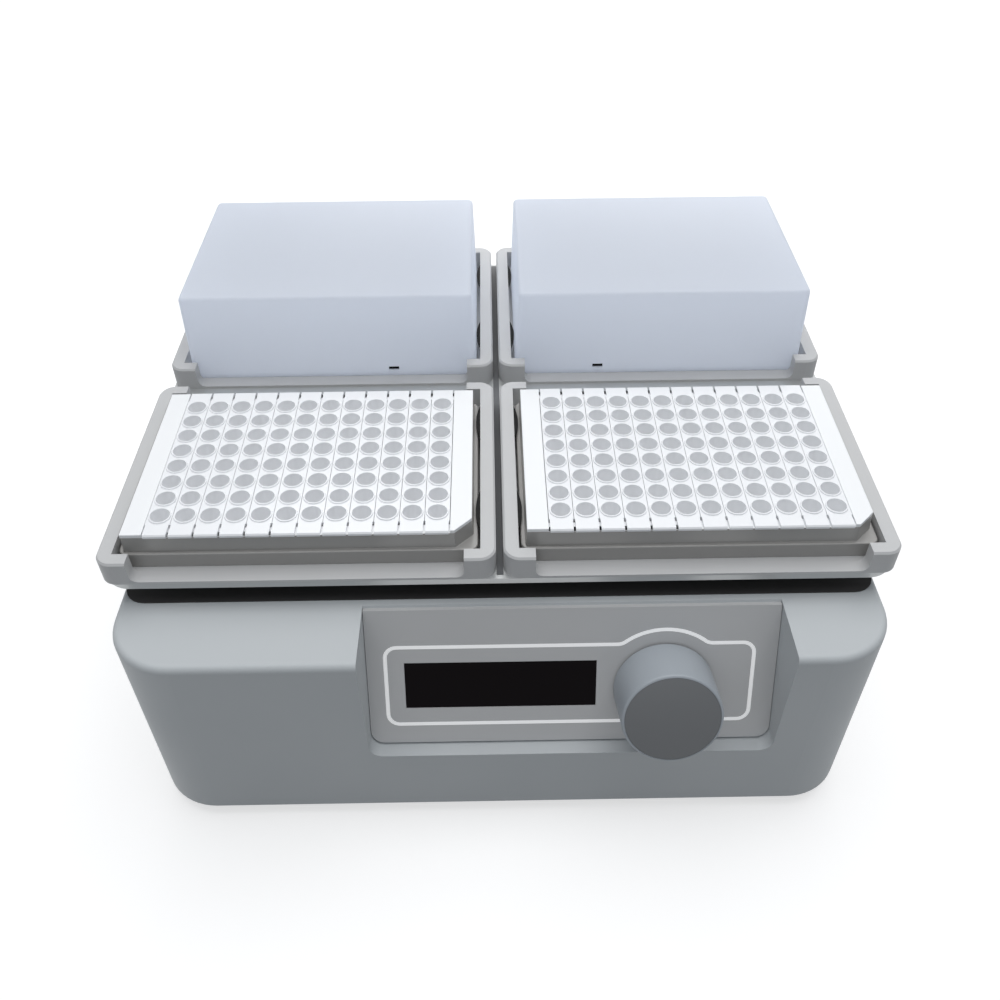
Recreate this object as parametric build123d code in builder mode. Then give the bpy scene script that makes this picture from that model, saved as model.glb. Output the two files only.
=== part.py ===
from build123d import *
import math
import os

# Heated orbital shaker for four microplates.
# Millimetres, +Z up. The origin is on the bench, under the middle of the whole envelope.
# The control panel faces -Y.

os.makedirs("parts", exist_ok=True)

# Housing
body_w = 275.0
body_d = 258.0
body_h = 87.5
body_corner_r = 24.0
body_edge_r = 2.5
body_wall = 3.0
foot_h = 7.0
foot_r = 11.0
foot_draft = 1.5
foot_inset = 34.0
pan_t = 2.5
pan_gap = 0.3
boss_r = 4.5
boss_inset = 10.0
boss_screw_r = 1.4
boss_screw_l = 12.0

# Control panel, sunk into the front edge of the housing
panel_w = 150.6
panel_centre_x = 25.8
panel_setback = 25.3
panel_ledge = 5.0
panel_drop = 54.1
panel_corner_r = 5.0
fascia_t = 2.2
fascia_gap = 0.2
fascia_lip = 7.0
window_w = 70.4
window_h = 19.3
window_x = -0.3
window_down = 31.8
window_t = 1.6
module_inset = 1.0
board_standoff = 13.0
board_t = 1.6
board_margin_x = 14.3
board_margin_y = 9.1
board_post_r = 3.0
board_post_inset = 4.5

# Knob and encoder
knob_x = 59.8
knob_down = 33.6
knob_r = 18.5
knob_l = 20.6
knob_taper = 1.2
knob_edge_r = 1.8
knob_gap = 0.9
knob_wall = 2.4
knob_roof = 3.0
knob_hub_r = 5.5
hub_clear = 0.6
push_travel = 0.5
shaft_r = 3.0
bush_r = 4.5
bush_l = 6.5
nut_r = 6.5
nut_t = 2.0
encoder_w = 13.0
shaft_sunk = 8.0
plunger_r = 4.0
plunger_t = 1.5
plunger_room = 0.8
running_gap = 0.05

# Trays and platform
plate_play_x = 0.82
plate_play_y = 4.16
tray_corner_r = 6.0
tray_wall_x = 5.5
tray_wall_y = 5.3
tray_floor = 1.0
tray_block = 11.3
tray_cove_r = 3.0
tray_bevel = 0.7
tray_gap_x = 2.6
tray_gap_y = 11.5
platform_t = 2.4
platform_corner_r = 10.0
platform_gap = 7.3
platform_shift_y = 11.95
mat_margin_x = 26.0
mat_margin_y = 22.0
mat_t = 1.2
tray_screw_spacing = 96.0
tray_screw_r = 2.0
tray_screw_l = 2.6

# Plate clips in the tray wall next to the middle
clip_l = 21.0
clip_bulge = 1.7
clip_root = 1.6
clip_t = 1.3
clip_over_flange = 0.3
clip_below_rim = 1.0
clip_travel = 1.7
clip_inset_y = 20.9
clip_gap = 0.15

# Strip microplate with the standard 127.76 by 85.48 footprint
plate_h = 14.3
plate_rail_w = 7.7
plate_end_d = 4.55
plate_step_x = 2.08
plate_step_y = 1.74
plate_flange_h = 6.4
plate_corner_r = 3.2
plate_chamfer = 6.2
plate_shift_y = 2.0
well_pitch = 9.0
well_wall = 0.5
well_floor_t = 1.4
well_facets = 8
strip_gap = 0.1
strip_end = 0.45
strip_step = 0.45
strip_web_t = 1.3
strip_floor_gap = 2.2
frame_wall = 1.6
columns = 12
rows = 8

# Tall cover
cover_play_x = 1.8
cover_play_y = 1.15
cover_h = 39.2
cover_taper = 1.9
cover_wall = 2.0
cover_corner_r = 5.0
cover_edge_r = 2.5
cover_slot_w = 4.5
cover_slot_h = 1.6
cover_slot_up = 3.0
cover_slot_x = 26.5

# Orbital drive
orbit_r = 1.0
deck_margin_x = 24.5
deck_margin_y = 34.0
deck_t = 3.0
pillar_r = 5.0
pillar_inset_x = 13.0
pillar_inset_y = 17.0
deck_screw_r = 2.0
deck_screw_l = 8.0
deck_screw_head_r = 3.5
can_r = 32.0
can_h = 41.0
can_wall = 4.0
stator_t = 3.5
stator_end_gap = 5.0
air_gap = 1.0
rotor_short = 2.0
end_gap = 0.3
shaft_main_r = 5.0
disc_r = 18.0
disc_t = 5.5
disc_gap = 1.5
pin_r = 6.0
pin_end_gap = 0.8
pin_room = 2.0
bearing_h = 7.0
main_bearing_r = 13.0
hub_r = 22.0
hub_flange_r = 32.0
hub_flange_t = 3.0
hub_bearing_r = 16.0
hub_bearing_inset = 1.0
hub_drop = 15.8
hub_screw_r = 2.0
hub_screw_inset = 4.0
hub_screw_count = 4
hub_screw_start = 45.0
weight_r = 40.0
weight_t = 9.0
weight_gap = 2.5
weight_angle = 150.0
idler_inset_x = 13.0
idler_inset_y = 15.0
idler_journal_r = 4.0
idler_web_r = 8.0
idler_web_t = 5.5
idler_web_gap = 3.5
idler_tail = 6.0
journal_end_gap = 1.0
idler_bearing_r = 8.0
idler_bearing_h = 8.0
idler_bearing_drop = 3.0
idler_flange_r = 10.0
idler_flange_t = 1.5
cup_r = 11.0
cup_roof = 1.8
sensor_w = 10.0
sensor_d = 8.0
sensor_h = 12.0
sensor_gap = 4.0
sensor_angle = 45.0
opening_margin = 3.0

# Electronics and rear panel
bench_board_w = 84.0
bench_margin_x = 13.5
bench_gap_y = 13.0
bench_board_y = 5.0
bench_post_h = 8.0
bench_post_inset = 5.0
transformer_w = 42.0
transformer_d = 36.0
transformer_h = 30.0
capacitor_r = 8.0
capacitor_h = 26.0
heat_sink_w = 6.0
heat_sink_d = 48.0
heat_sink_h = 28.0
heat_sink_inset = 10.5
chip_w = 14.0
chip_h = 2.4
connector_w = 9.0
connector_h = 11.0
inlet_inset = 42.5
inlet_up = 27.0
inlet_w = 27.5
inlet_h = 20.0
inlet_flange = 2.0
inlet_flange_t = 1.5
inlet_depth = 20.0
inlet_wall = 1.75
inlet_cavity_d = 16.0
inlet_chamfer = 4.5
inlet_fit = 0.1
blade_l = 11.0
blade_w = 2.0
blade_h = 4.0
blade_spread = 14.0
earth_up = 4.0
switch_apart = 37.0
switch_wall_x = 1.7
switch_wall_y = 1.25
switch_flange = 1.6
switch_depth = 14.0
rocker_w = 9.0
rocker_r = 8.2
rocker_tilt = 8.0
rocker_gap = 0.3
rocker_sink = 3.3
rocker_face = 2.6
rocker_back = 5.0
rocker_pin_r = 1.2
vent_count = 10
vent_pitch = 8.0
vent_w = 3.0
vent_h = 30.0
vent_inset = 75.5
vent_up = 35.0

# Places that follow from the sizes above
panel_tilt = math.degrees(math.atan((panel_setback - panel_ledge) / panel_drop))
sin_tilt = math.sin(math.radians(panel_tilt))
cos_tilt = math.cos(math.radians(panel_tilt))
panel_l = panel_drop / cos_tilt
board_w = panel_w - 2 * board_margin_x
board_l = panel_l - 2 * board_margin_y
knob_reach = (knob_gap + knob_l - knob_edge_r) * cos_tilt + knob_edge_r
knob_reach += (knob_r - knob_l * math.tan(math.radians(knob_taper)) - knob_edge_r) * sin_tilt
knob_front = panel_setback - knob_down * sin_tilt - knob_reach
front_y = -(body_d + inlet_flange_t + knob_front) / 2
rear_y = front_y + body_d
body_z = foot_h
top_z = body_z + body_h
body_y = (front_y + rear_y) / 2
boss_span_x = body_w - 2 * (body_wall + boss_inset)
boss_span_y = body_d - 2 * (body_wall + boss_inset)
strip_run = rows * well_pitch + 2 * strip_end
strip_field = columns * well_pitch + 2 * strip_gap
strip_block_w = well_pitch - 2 * strip_gap - 2 * strip_step
well_r = strip_block_w / 2 - well_wall
well_depth = plate_h - strip_floor_gap - well_floor_t
plate_top_w = strip_field + 2 * plate_rail_w
plate_top_d = strip_run + 2 * plate_end_d
plate_w = plate_top_w + 2 * plate_step_x
plate_d = plate_top_d + 2 * plate_step_y
tray_w = plate_w + 2 * (plate_play_x + tray_wall_x)
tray_d = plate_d + 2 * (plate_play_y + tray_wall_y)
tray_h = tray_floor + plate_flange_h + clip_over_flange + clip_t + clip_below_rim
cover_w = tray_w - 2 * (tray_wall_x + cover_play_x)
cover_d = tray_d - 2 * (tray_wall_y + cover_play_y)
clip_spacing = tray_d - 2 * (tray_wall_y + clip_inset_y)
mat_w = tray_w - 2 * mat_margin_x
mat_d = tray_d - 2 * mat_margin_y
platform_z = top_z + platform_gap
tray_z = platform_z + platform_t
floor_z = tray_z + tray_floor
platform_w = 2 * tray_w + tray_gap_x
platform_d = 2 * tray_d + tray_gap_y
tray_x = (tray_w + tray_gap_x) / 2
tray_y = (tray_d + tray_gap_y) / 2
platform_y = body_y + platform_shift_y
crank_y = platform_y - orbit_r
pan_top = body_z + pan_t
nut_top = bush_l - fascia_t
shaft_top = knob_gap + knob_l - knob_roof
hub_z = platform_z - hub_drop
hub_bearing_z = hub_z + hub_bearing_inset
hub_screw_circle = hub_flange_r - hub_screw_inset
deck_z = hub_z - weight_gap - weight_t - disc_gap - bearing_h
deck_top = deck_z + deck_t
deck_w = body_w - 2 * deck_margin_x
deck_d = body_d - 2 * deck_margin_y
pillar_x = deck_w / 2 - pillar_inset_x
pillar_y = deck_d / 2 - pillar_inset_y
idler_x = deck_w / 2 - idler_inset_x
idler_y = deck_d / 2 - idler_inset_y
can_z = deck_z - can_h
stator_r = can_r - can_wall - stator_t
stator_h = can_h - 2 * can_wall - stator_end_gap
rotor_r = stator_r - air_gap
rotor_h = stator_h - rotor_short
shaft_z = can_z + can_wall / 2 + end_gap
disc_z = deck_z + bearing_h + disc_gap
pin_z = disc_z + disc_t
pin_l = platform_z - hub_flange_t - pin_end_gap - pin_z
web_z = deck_top + idler_web_gap
journal_z = web_z + idler_web_t
cup_bore_l = hub_drop - cup_roof
idler_journal_l = hub_z + cup_bore_l - journal_end_gap - journal_z
sensor_reach = weight_r + sensor_gap + sensor_d / 2
bench_board_z = pan_top + bench_post_h
bench_board_x = body_w / 2 - bench_margin_x - bench_board_w / 2
bench_board_d = 2 * (pillar_y - orbit_r - pillar_r - bench_gap_y - bench_board_y)
inlet_x = inlet_inset - body_w / 2
inlet_z = body_z + inlet_up
inlet_cavity_w = inlet_w - 2 * inlet_wall
inlet_cavity_h = inlet_h - 2 * inlet_wall
switch_x = inlet_x + switch_apart
switch_w = rocker_w + 2 * (rocker_gap + switch_wall_x)
switch_h = 2 * (rocker_r + rocker_gap + switch_wall_y)
vent_x = body_w / 2 - vent_inset
vent_z = body_z + vent_up
end_opening = tray_w - 2 * tray_block
clip_z = floor_z + plate_flange_h + clip_over_flange
clip_pocket = clip_root + clip_travel + clip_gap

panel = Plane(
    origin=(panel_centre_x, front_y + panel_setback, top_z),
    x_dir=(1, 0, 0),
    z_dir=(0, -cos_tilt, sin_tilt),
)
knob_plane = Plane(
    origin=panel.from_local_coords(Vector(knob_x - panel_centre_x, -knob_down, 0)),
    x_dir=(1, 0, 0),
    z_dir=panel.z_dir,
)
rear = Plane(origin=(0, rear_y, 0), x_dir=(-1, 0, 0), z_dir=(0, 1, 0))
rocker_plane = Plane(
    origin=(switch_x, rear_y - rocker_sink, inlet_z),
    x_dir=(0, math.cos(math.radians(rocker_tilt)), math.sin(math.radians(rocker_tilt))),
    z_dir=(1, 0, 0),
)
stand = (Align.CENTER, Align.CENTER, Align.MIN)
idler_spots = {
    "right": (idler_x, 0),
    "left": (-idler_x, 0),
    "rear": (0, idler_y),
    "front": (0, -idler_y),
}
tray_spots = {
    "front_left": (-tray_x, platform_y - tray_y),
    "front_right": (tray_x, platform_y - tray_y),
    "rear_left": (-tray_x, platform_y + tray_y),
    "rear_right": (tray_x, platform_y + tray_y),
}


def level(z, x=0.0, y=0.0):
    """A horizontal plane at height z, centred on (x, y)."""
    return Plane(origin=(x, y, z))


def disc(z, x, y, r, h):
    """A round solid of radius r and height h that stands at (x, y, z)."""
    with Locations(level(z, x, y)):
        Cylinder(r, h, align=stand)


def bore(z, x, y, r, h):
    """A round hole of radius r and height h, cut upward from (x, y, z)."""
    with Locations(level(z, x, y)):
        Cylinder(r, h, align=stand, mode=Mode.SUBTRACT)


def block(z, x, y, w, d, h):
    """A square-cornered solid that stands at (x, y, z)."""
    with Locations(level(z, x, y)):
        Box(w, d, h, align=stand)


def pocket_profile(depth, drop, front):
    """Side view of the panel recess, drawn on a plane that looks along X."""
    slope = depth / cos_tilt
    with BuildLine() as outline:
        Polyline(
            (front_y + front, top_z + body_wall),
            (front_y + panel_setback + slope + body_wall * sin_tilt / cos_tilt, top_z + body_wall),
            (front_y + panel_ledge + slope - (drop - panel_drop) * sin_tilt / cos_tilt, top_z - drop),
            (front_y + front, top_z - drop),
            close=True,
        )
    return outline.line


# The panel recess as a cutting body, with its two lower corners rounded
with BuildPart() as recess:
    with BuildSketch(Plane.YZ.offset(panel_centre_x - panel_w / 2)):
        with BuildLine():
            add(pocket_profile(fascia_t, panel_drop, -body_wall))
        make_face()
    extrude(amount=panel_w)
    fillet(recess.edges().filter_by(Axis.Y).group_by(Axis.Z)[0], panel_corner_r)

# Moulded housing shell with the walls of the recess inside
with BuildPart() as housing_shell:
    with BuildSketch(level(body_z, 0, body_y)):
        RectangleRounded(body_w, body_d, body_corner_r)
    extrude(amount=body_h)
    fillet(housing_shell.faces().sort_by(Axis.Z)[-1].edges(), body_edge_r)
    with BuildSketch(level(body_z, 0, body_y)):
        RectangleRounded(body_w - 2 * body_wall, body_d - 2 * body_wall, body_corner_r - body_wall)
    extrude(amount=body_h - body_wall, mode=Mode.SUBTRACT)
    with BuildSketch(Plane.YZ.offset(panel_centre_x - panel_w / 2 - body_wall)):
        with BuildLine():
            add(pocket_profile(fascia_t + body_wall, panel_drop + body_wall, body_wall / 2))
        make_face()
        with Locations((body_y, top_z + body_wall)):
            Rectangle(body_d, 4 * body_wall, mode=Mode.SUBTRACT)
    extrude(amount=panel_w + 2 * body_wall)
    with Locations(level(pan_top, 0, body_y)):
        with GridLocations(boss_span_x, boss_span_y, 2, 2):
            Cylinder(boss_r, top_z - body_wall - pan_top, align=stand)
            Cylinder(boss_screw_r, boss_screw_l, align=stand, mode=Mode.SUBTRACT)
    add(recess.part, mode=Mode.SUBTRACT)
    with BuildSketch(panel):
        with Locations((0, -panel_l / 2)):
            Rectangle(panel_w - 2 * fascia_lip, panel_l - 2 * fascia_lip)
    extrude(amount=-(fascia_t + 2 * body_wall), mode=Mode.SUBTRACT)
    with BuildSketch(level(top_z, 0, crank_y)):
        Circle(hub_r + orbit_r + opening_margin)
        with Locations(*idler_spots.values()):
            Circle(cup_r + orbit_r + opening_margin)
    extrude(amount=-2 * body_wall, mode=Mode.SUBTRACT)
    with BuildSketch(Plane.XZ.offset(-rear_y)):
        with Locations((inlet_x, inlet_z)):
            Rectangle(inlet_w, inlet_h)
        with Locations((switch_x, inlet_z)):
            Rectangle(switch_w, switch_h)
        with Locations((vent_x, vent_z)):
            with GridLocations(vent_pitch, 0, vent_count, 1):
                SlotOverall(vent_h, vent_w, rotation=90)
    extrude(amount=2 * body_wall, mode=Mode.SUBTRACT)
housing_shell.part.label = "housing_shell"
export_step(housing_shell.part, "parts/housing_shell.step")

# Base pan that closes the shell from below
pan_cut = 2 * (body_wall + pan_gap)
with BuildPart() as base_pan:
    with BuildSketch(level(body_z, 0, body_y)):
        RectangleRounded(body_w - pan_cut, body_d - pan_cut, body_corner_r - body_wall - pan_gap)
    extrude(amount=pan_t)
    with Locations(level(body_z, 0, body_y)):
        with GridLocations(boss_span_x, boss_span_y, 2, 2):
            Cylinder(boss_screw_r, 2 * pan_t, mode=Mode.SUBTRACT)
    with BuildSketch(level(body_z, 0, platform_y)):
        for side in (-1, 1):
            with Locations((side * bench_board_x, bench_board_y)):
                with GridLocations(vent_pitch, 0, vent_count // 2, 1):
                    SlotOverall(2 * vent_h, vent_w, rotation=90)
    extrude(amount=pan_t, mode=Mode.SUBTRACT)
base_pan.part.label = "base_pan"
export_step(base_pan.part, "parts/base_pan.step")

# Rubber feet, each with a recess for its screw
with BuildPart() as rubber_feet:
    with Locations(level(0, 0, body_y)):
        with GridLocations(body_w - 2 * foot_inset, body_d - 2 * foot_inset, 2, 2):
            Cone(foot_r - foot_draft, foot_r, foot_h, align=stand)
            Cylinder(foot_r / 2, foot_h / 2, align=stand, mode=Mode.SUBTRACT)
rubber_feet.part.label = "rubber_feet"
export_step(rubber_feet.part, "parts/rubber_feet.step")

# Screws that hold the base pan to the shell's bosses
with BuildPart() as base_screws:
    with Locations(level(body_z, 0, body_y)):
        with GridLocations(boss_span_x, boss_span_y, 2, 2):
            Cylinder(boss_screw_r, pan_t + boss_screw_l - boss_screw_r, align=stand)
            Cylinder(2 * boss_screw_r, boss_screw_r, align=(Align.CENTER, Align.CENTER, Align.MAX))
base_screws.part.label = "base_screws"
export_step(base_screws.part, "parts/base_screws.step")

# Fascia panel with openings for the display and the encoder bush
fascia_l = panel_l - 2 * fascia_gap - fascia_t * sin_tilt / cos_tilt
with BuildPart() as fascia_panel:
    with BuildSketch(panel):
        with Locations((0, -fascia_gap)):
            Rectangle(panel_w - 2 * fascia_gap, fascia_l, align=(Align.CENTER, Align.MAX))
        with Locations((window_x - panel_centre_x, -window_down)):
            Rectangle(window_w + fascia_gap, window_h + fascia_gap, mode=Mode.SUBTRACT)
        with Locations((knob_x - panel_centre_x, -knob_down)):
            Circle(bush_r + running_gap, mode=Mode.SUBTRACT)
    extrude(amount=-fascia_t)
    fascia_corners = fascia_panel.edges().filter_by(Axis(panel.origin, panel.z_dir))
    fillet(fascia_corners.sort_by(Axis.Z)[:2], panel_corner_r)
fascia_panel.part.label = "fascia_panel"
export_step(fascia_panel.part, "parts/fascia_panel.step")

# Dark display window, set in the fascia
with BuildPart() as display_window:
    with BuildSketch(panel.offset(-fascia_gap)):
        with Locations((window_x - panel_centre_x, -window_down)):
            Rectangle(window_w, window_h)
    extrude(amount=-window_t)
display_window.part.label = "display_window"
export_step(display_window.part, "parts/display_window.step")

# Display module behind the window, soldered to the control board
with BuildPart() as display_module:
    with BuildSketch(panel.offset(-fascia_gap - window_t)):
        with Locations((window_x - panel_centre_x, -window_down)):
            Rectangle(window_w - 2 * module_inset, window_h - 2 * module_inset)
    extrude(amount=-(board_standoff - fascia_gap - window_t))
display_module.part.label = "display_module"
export_step(display_module.part, "parts/display_module.step")

# Control board, parallel to the panel
with BuildPart() as control_board:
    with BuildSketch(panel.offset(-board_standoff)):
        with Locations((0, -panel_l / 2)):
            Rectangle(board_w, board_l)
    extrude(amount=-board_t)
control_board.part.label = "control_board"
export_step(control_board.part, "parts/control_board.step")

# Posts between the fascia and the control board
with BuildPart() as board_posts:
    with BuildSketch(panel.offset(-fascia_t)):
        with Locations((0, -panel_l / 2)):
            with GridLocations(board_w - 2 * board_post_inset, board_l - 2 * board_post_inset, 2, 2):
                Circle(board_post_r)
    extrude(amount=-(board_standoff - fascia_t))
board_posts.part.label = "board_posts"
export_step(board_posts.part, "parts/board_posts.step")

# Encoder body with its bush and a room for the push switch
with BuildPart() as encoder_body:
    with BuildSketch(knob_plane.offset(-fascia_t)):
        Rectangle(encoder_w, encoder_w)
    extrude(amount=-(board_standoff - fascia_t))
    with BuildSketch(knob_plane.offset(-fascia_t)):
        Circle(bush_r)
    extrude(amount=bush_l)
    with BuildSketch(knob_plane.offset(nut_top)):
        Circle(shaft_r + running_gap)
    extrude(amount=-(nut_top + shaft_sunk), mode=Mode.SUBTRACT)
    with BuildSketch(knob_plane.offset(-shaft_sunk)):
        Circle(plunger_r + running_gap)
    extrude(amount=-(plunger_t + plunger_room), mode=Mode.SUBTRACT)
encoder_body.part.label = "encoder_body"
export_step(encoder_body.part, "parts/encoder_body.step")

# Hexagon nut that clamps the bush to the fascia
with BuildPart() as encoder_nut:
    with BuildSketch(knob_plane):
        RegularPolygon(nut_r, 6)
        Circle(bush_r + running_gap, mode=Mode.SUBTRACT)
    extrude(amount=nut_t)
encoder_nut.part.label = "encoder_nut"
export_step(encoder_nut.part, "parts/encoder_nut.step")

# Plunger of the push switch, below the end of the shaft
with BuildPart() as switch_plunger:
    with BuildSketch(knob_plane.offset(-shaft_sunk - running_gap)):
        Circle(plunger_r)
    extrude(amount=-plunger_t)
switch_plunger.part.label = "switch_plunger"
export_step(switch_plunger.part, "parts/switch_plunger.step")

# Encoder shaft
with BuildPart() as encoder_shaft:
    with BuildSketch(knob_plane.offset(-shaft_sunk)):
        Circle(shaft_r)
    extrude(amount=shaft_sunk + shaft_top)
encoder_shaft.part.label = "encoder_shaft"
export_step(encoder_shaft.part, "parts/encoder_shaft.step")

# Hollow knob with draft, a rounded front edge and a hub on the shaft
with BuildPart() as knob:
    with BuildSketch(knob_plane.offset(knob_gap)):
        Circle(knob_r)
    extrude(amount=knob_l, taper=knob_taper)
    knob_rims = knob.edges().filter_by(GeomType.CIRCLE)
    fillet(knob_rims.sort_by(Axis(knob_plane.origin, knob_plane.z_dir))[-1], knob_edge_r)
    with BuildSketch(knob_plane.offset(knob_gap)):
        Circle(knob_r - knob_wall)
    extrude(amount=knob_l - knob_roof, taper=knob_taper, mode=Mode.SUBTRACT)
    with BuildSketch(knob_plane.offset(nut_top + push_travel + hub_clear)):
        Circle(knob_hub_r)
        Circle(shaft_r, mode=Mode.SUBTRACT)
    extrude(amount=shaft_top - nut_top - push_travel - hub_clear)
knob.part.label = "knob"
export_step(knob.part, "parts/knob.step")

# Deck that carries the motor and the idlers
with BuildPart() as drive_deck:
    with BuildSketch(level(deck_z, 0, crank_y)):
        RectangleRounded(deck_w, deck_d, pillar_r)
        Circle(main_bearing_r, mode=Mode.SUBTRACT)
        with Locations(*idler_spots.values()):
            Circle(idler_bearing_r, mode=Mode.SUBTRACT)
        with GridLocations(2 * pillar_x, 2 * pillar_y, 2, 2):
            Circle(deck_screw_r, mode=Mode.SUBTRACT)
    extrude(amount=deck_t)
drive_deck.part.label = "drive_deck"
export_step(drive_deck.part, "parts/drive_deck.step")

# Pillars between the base pan and the deck
with BuildPart() as deck_pillars:
    with BuildSketch(level(pan_top, 0, crank_y)):
        with GridLocations(2 * pillar_x, 2 * pillar_y, 2, 2):
            Circle(pillar_r)
    extrude(amount=deck_z - pan_top)
    with BuildSketch(level(deck_z, 0, crank_y)):
        with GridLocations(2 * pillar_x, 2 * pillar_y, 2, 2):
            Circle(deck_screw_r)
    extrude(amount=-deck_screw_l, mode=Mode.SUBTRACT)
deck_pillars.part.label = "deck_pillars"
export_step(deck_pillars.part, "parts/deck_pillars.step")

# Screws that hold the deck down
with BuildPart() as deck_screws:
    with Locations(level(deck_top, 0, crank_y)):
        with GridLocations(2 * pillar_x, 2 * pillar_y, 2, 2):
            Cylinder(deck_screw_head_r, deck_screw_r, align=stand)
            Cylinder(deck_screw_r, deck_screw_l, align=(Align.CENTER, Align.CENTER, Align.MAX))
deck_screws.part.label = "deck_screws"
export_step(deck_screws.part, "parts/deck_screws.step")

# Motor can, hung under the deck, with a blind bearing hole in its floor
with BuildPart() as motor_can:
    disc(can_z, 0, crank_y, can_r, can_h)
    bore(can_z + can_wall, 0, crank_y, can_r - can_wall, can_h)
    bore(can_z + can_wall / 2, 0, crank_y, shaft_main_r + running_gap, can_wall)
motor_can.part.label = "motor_can"
export_step(motor_can.part, "parts/motor_can.step")

# Stator ring inside the can
with BuildPart() as motor_stator:
    disc(can_z + 2 * can_wall, 0, crank_y, can_r - can_wall, stator_h)
    bore(can_z + 2 * can_wall, 0, crank_y, stator_r, stator_h)
motor_stator.part.label = "motor_stator"
export_step(motor_stator.part, "parts/motor_stator.step")

# Rotor on the main shaft
with BuildPart() as motor_rotor:
    disc(can_z + 2 * can_wall, 0, crank_y, rotor_r, rotor_h)
    bore(can_z + 2 * can_wall, 0, crank_y, shaft_main_r, rotor_h)
motor_rotor.part.label = "motor_rotor"
export_step(motor_rotor.part, "parts/motor_rotor.step")

# Main bearing in the deck
with BuildPart() as main_bearing:
    disc(deck_z, 0, crank_y, main_bearing_r, bearing_h)
    bore(deck_z, 0, crank_y, shaft_main_r + running_gap, bearing_h)
main_bearing.part.label = "main_bearing"
export_step(main_bearing.part, "parts/main_bearing.step")

# Main shaft, crank disc and the pin that stands off centre by the orbit radius
with BuildPart() as eccentric_crank:
    disc(shaft_z, 0, crank_y, shaft_main_r, disc_z - shaft_z)
    disc(disc_z, 0, crank_y, disc_r, disc_t)
    disc(pin_z, 0, platform_y, pin_r, pin_l)
eccentric_crank.part.label = "eccentric_crank"
export_step(eccentric_crank.part, "parts/eccentric_crank.step")

# Counterweight round the disc, on the side away from the pin
with BuildPart() as counterweight:
    with BuildSketch(level(disc_z, 0, crank_y)):
        with BuildLine():
            outer_arc = CenterArc((0, 0), weight_r, -90 - weight_angle / 2, weight_angle)
            inner_arc = CenterArc((0, 0), disc_r, -90 - weight_angle / 2, weight_angle)
            Line(outer_arc @ 0, inner_arc @ 0)
            Line(outer_arc @ 1, inner_arc @ 1)
        make_face()
    extrude(amount=weight_t)
counterweight.part.label = "counterweight"
export_step(counterweight.part, "parts/counterweight.step")

# Hub under the platform that turns on the eccentric pin
with BuildPart() as platform_hub:
    disc(hub_z, 0, platform_y, hub_r, hub_drop)
    disc(platform_z - hub_flange_t, 0, platform_y, hub_flange_r, hub_flange_t)
    bore(hub_z, 0, platform_y, hub_bearing_r, hub_bearing_inset + bearing_h)
    bore(hub_z, 0, platform_y, pin_r + pin_room, hub_drop - hub_flange_t)
    with BuildSketch(level(platform_z - hub_flange_t, 0, platform_y)):
        with PolarLocations(hub_screw_circle, hub_screw_count, start_angle=hub_screw_start):
            Circle(hub_screw_r)
    extrude(amount=hub_flange_t, mode=Mode.SUBTRACT)
platform_hub.part.label = "platform_hub"
export_step(platform_hub.part, "parts/platform_hub.step")

# Bearing in the hub
with BuildPart() as hub_bearing:
    disc(hub_bearing_z, 0, platform_y, hub_bearing_r, bearing_h)
    bore(hub_bearing_z, 0, platform_y, pin_r + running_gap, bearing_h)
hub_bearing.part.label = "hub_bearing"
export_step(hub_bearing.part, "parts/hub_bearing.step")

# Flanged bearings of the idlers in the deck
with BuildPart() as idler_bearings:
    for across, along in idler_spots.values():
        disc(deck_z - idler_bearing_drop, across, crank_y + along, idler_bearing_r, idler_bearing_h)
        disc(deck_top, across, crank_y + along, idler_flange_r, idler_flange_t)
        bore(
            deck_z - idler_bearing_drop,
            across,
            crank_y + along,
            idler_journal_r + running_gap,
            idler_bearing_h,
        )
idler_bearings.part.label = "idler_bearings"
export_step(idler_bearings.part, "parts/idler_bearings.step")

# Idler cranks with the same throw as the main crank, which keep the platform from turning
for name, (across, along) in idler_spots.items():
    with BuildPart() as idler_crank:
        disc(deck_z - idler_tail, across, crank_y + along, idler_journal_r, web_z - deck_z + idler_tail)
        disc(web_z, across, crank_y + along + orbit_r / 2, idler_web_r, idler_web_t)
        disc(journal_z, across, platform_y + along, idler_journal_r, idler_journal_l)
    idler_crank.part.label = "idler_crank_" + name
    export_step(idler_crank.part, f"parts/idler_crank_{name}.step")

# Cups under the platform for the upper journals of the idlers
with BuildPart() as idler_cups:
    for across, along in idler_spots.values():
        disc(hub_z, across, platform_y + along, cup_r, hub_drop)
        bore(hub_z, across, platform_y + along, idler_journal_r + running_gap, cup_bore_l)
idler_cups.part.label = "idler_cups"
export_step(idler_cups.part, "parts/idler_cups.step")

# Speed sensor on the deck, just outside the path of the counterweight
with BuildPart() as speed_sensor:
    with Locations(level(deck_top, 0, crank_y)):
        with PolarLocations(sensor_reach, 1, start_angle=sensor_angle):
            Box(sensor_d, sensor_w, sensor_h, align=stand)
speed_sensor.part.label = "speed_sensor"
export_step(speed_sensor.part, "parts/speed_sensor.step")

# Standoffs for the two boards on the base pan
with BuildPart() as board_standoffs:
    for side in (-1, 1):
        with Locations(level(pan_top, side * bench_board_x, platform_y + bench_board_y)):
            with GridLocations(
                bench_board_w - 2 * bench_post_inset,
                bench_board_d - 2 * bench_post_inset,
                2,
                2,
            ):
                Cylinder(board_post_r, bench_post_h, align=stand)
board_standoffs.part.label = "board_standoffs"
export_step(board_standoffs.part, "parts/board_standoffs.step")

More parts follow.
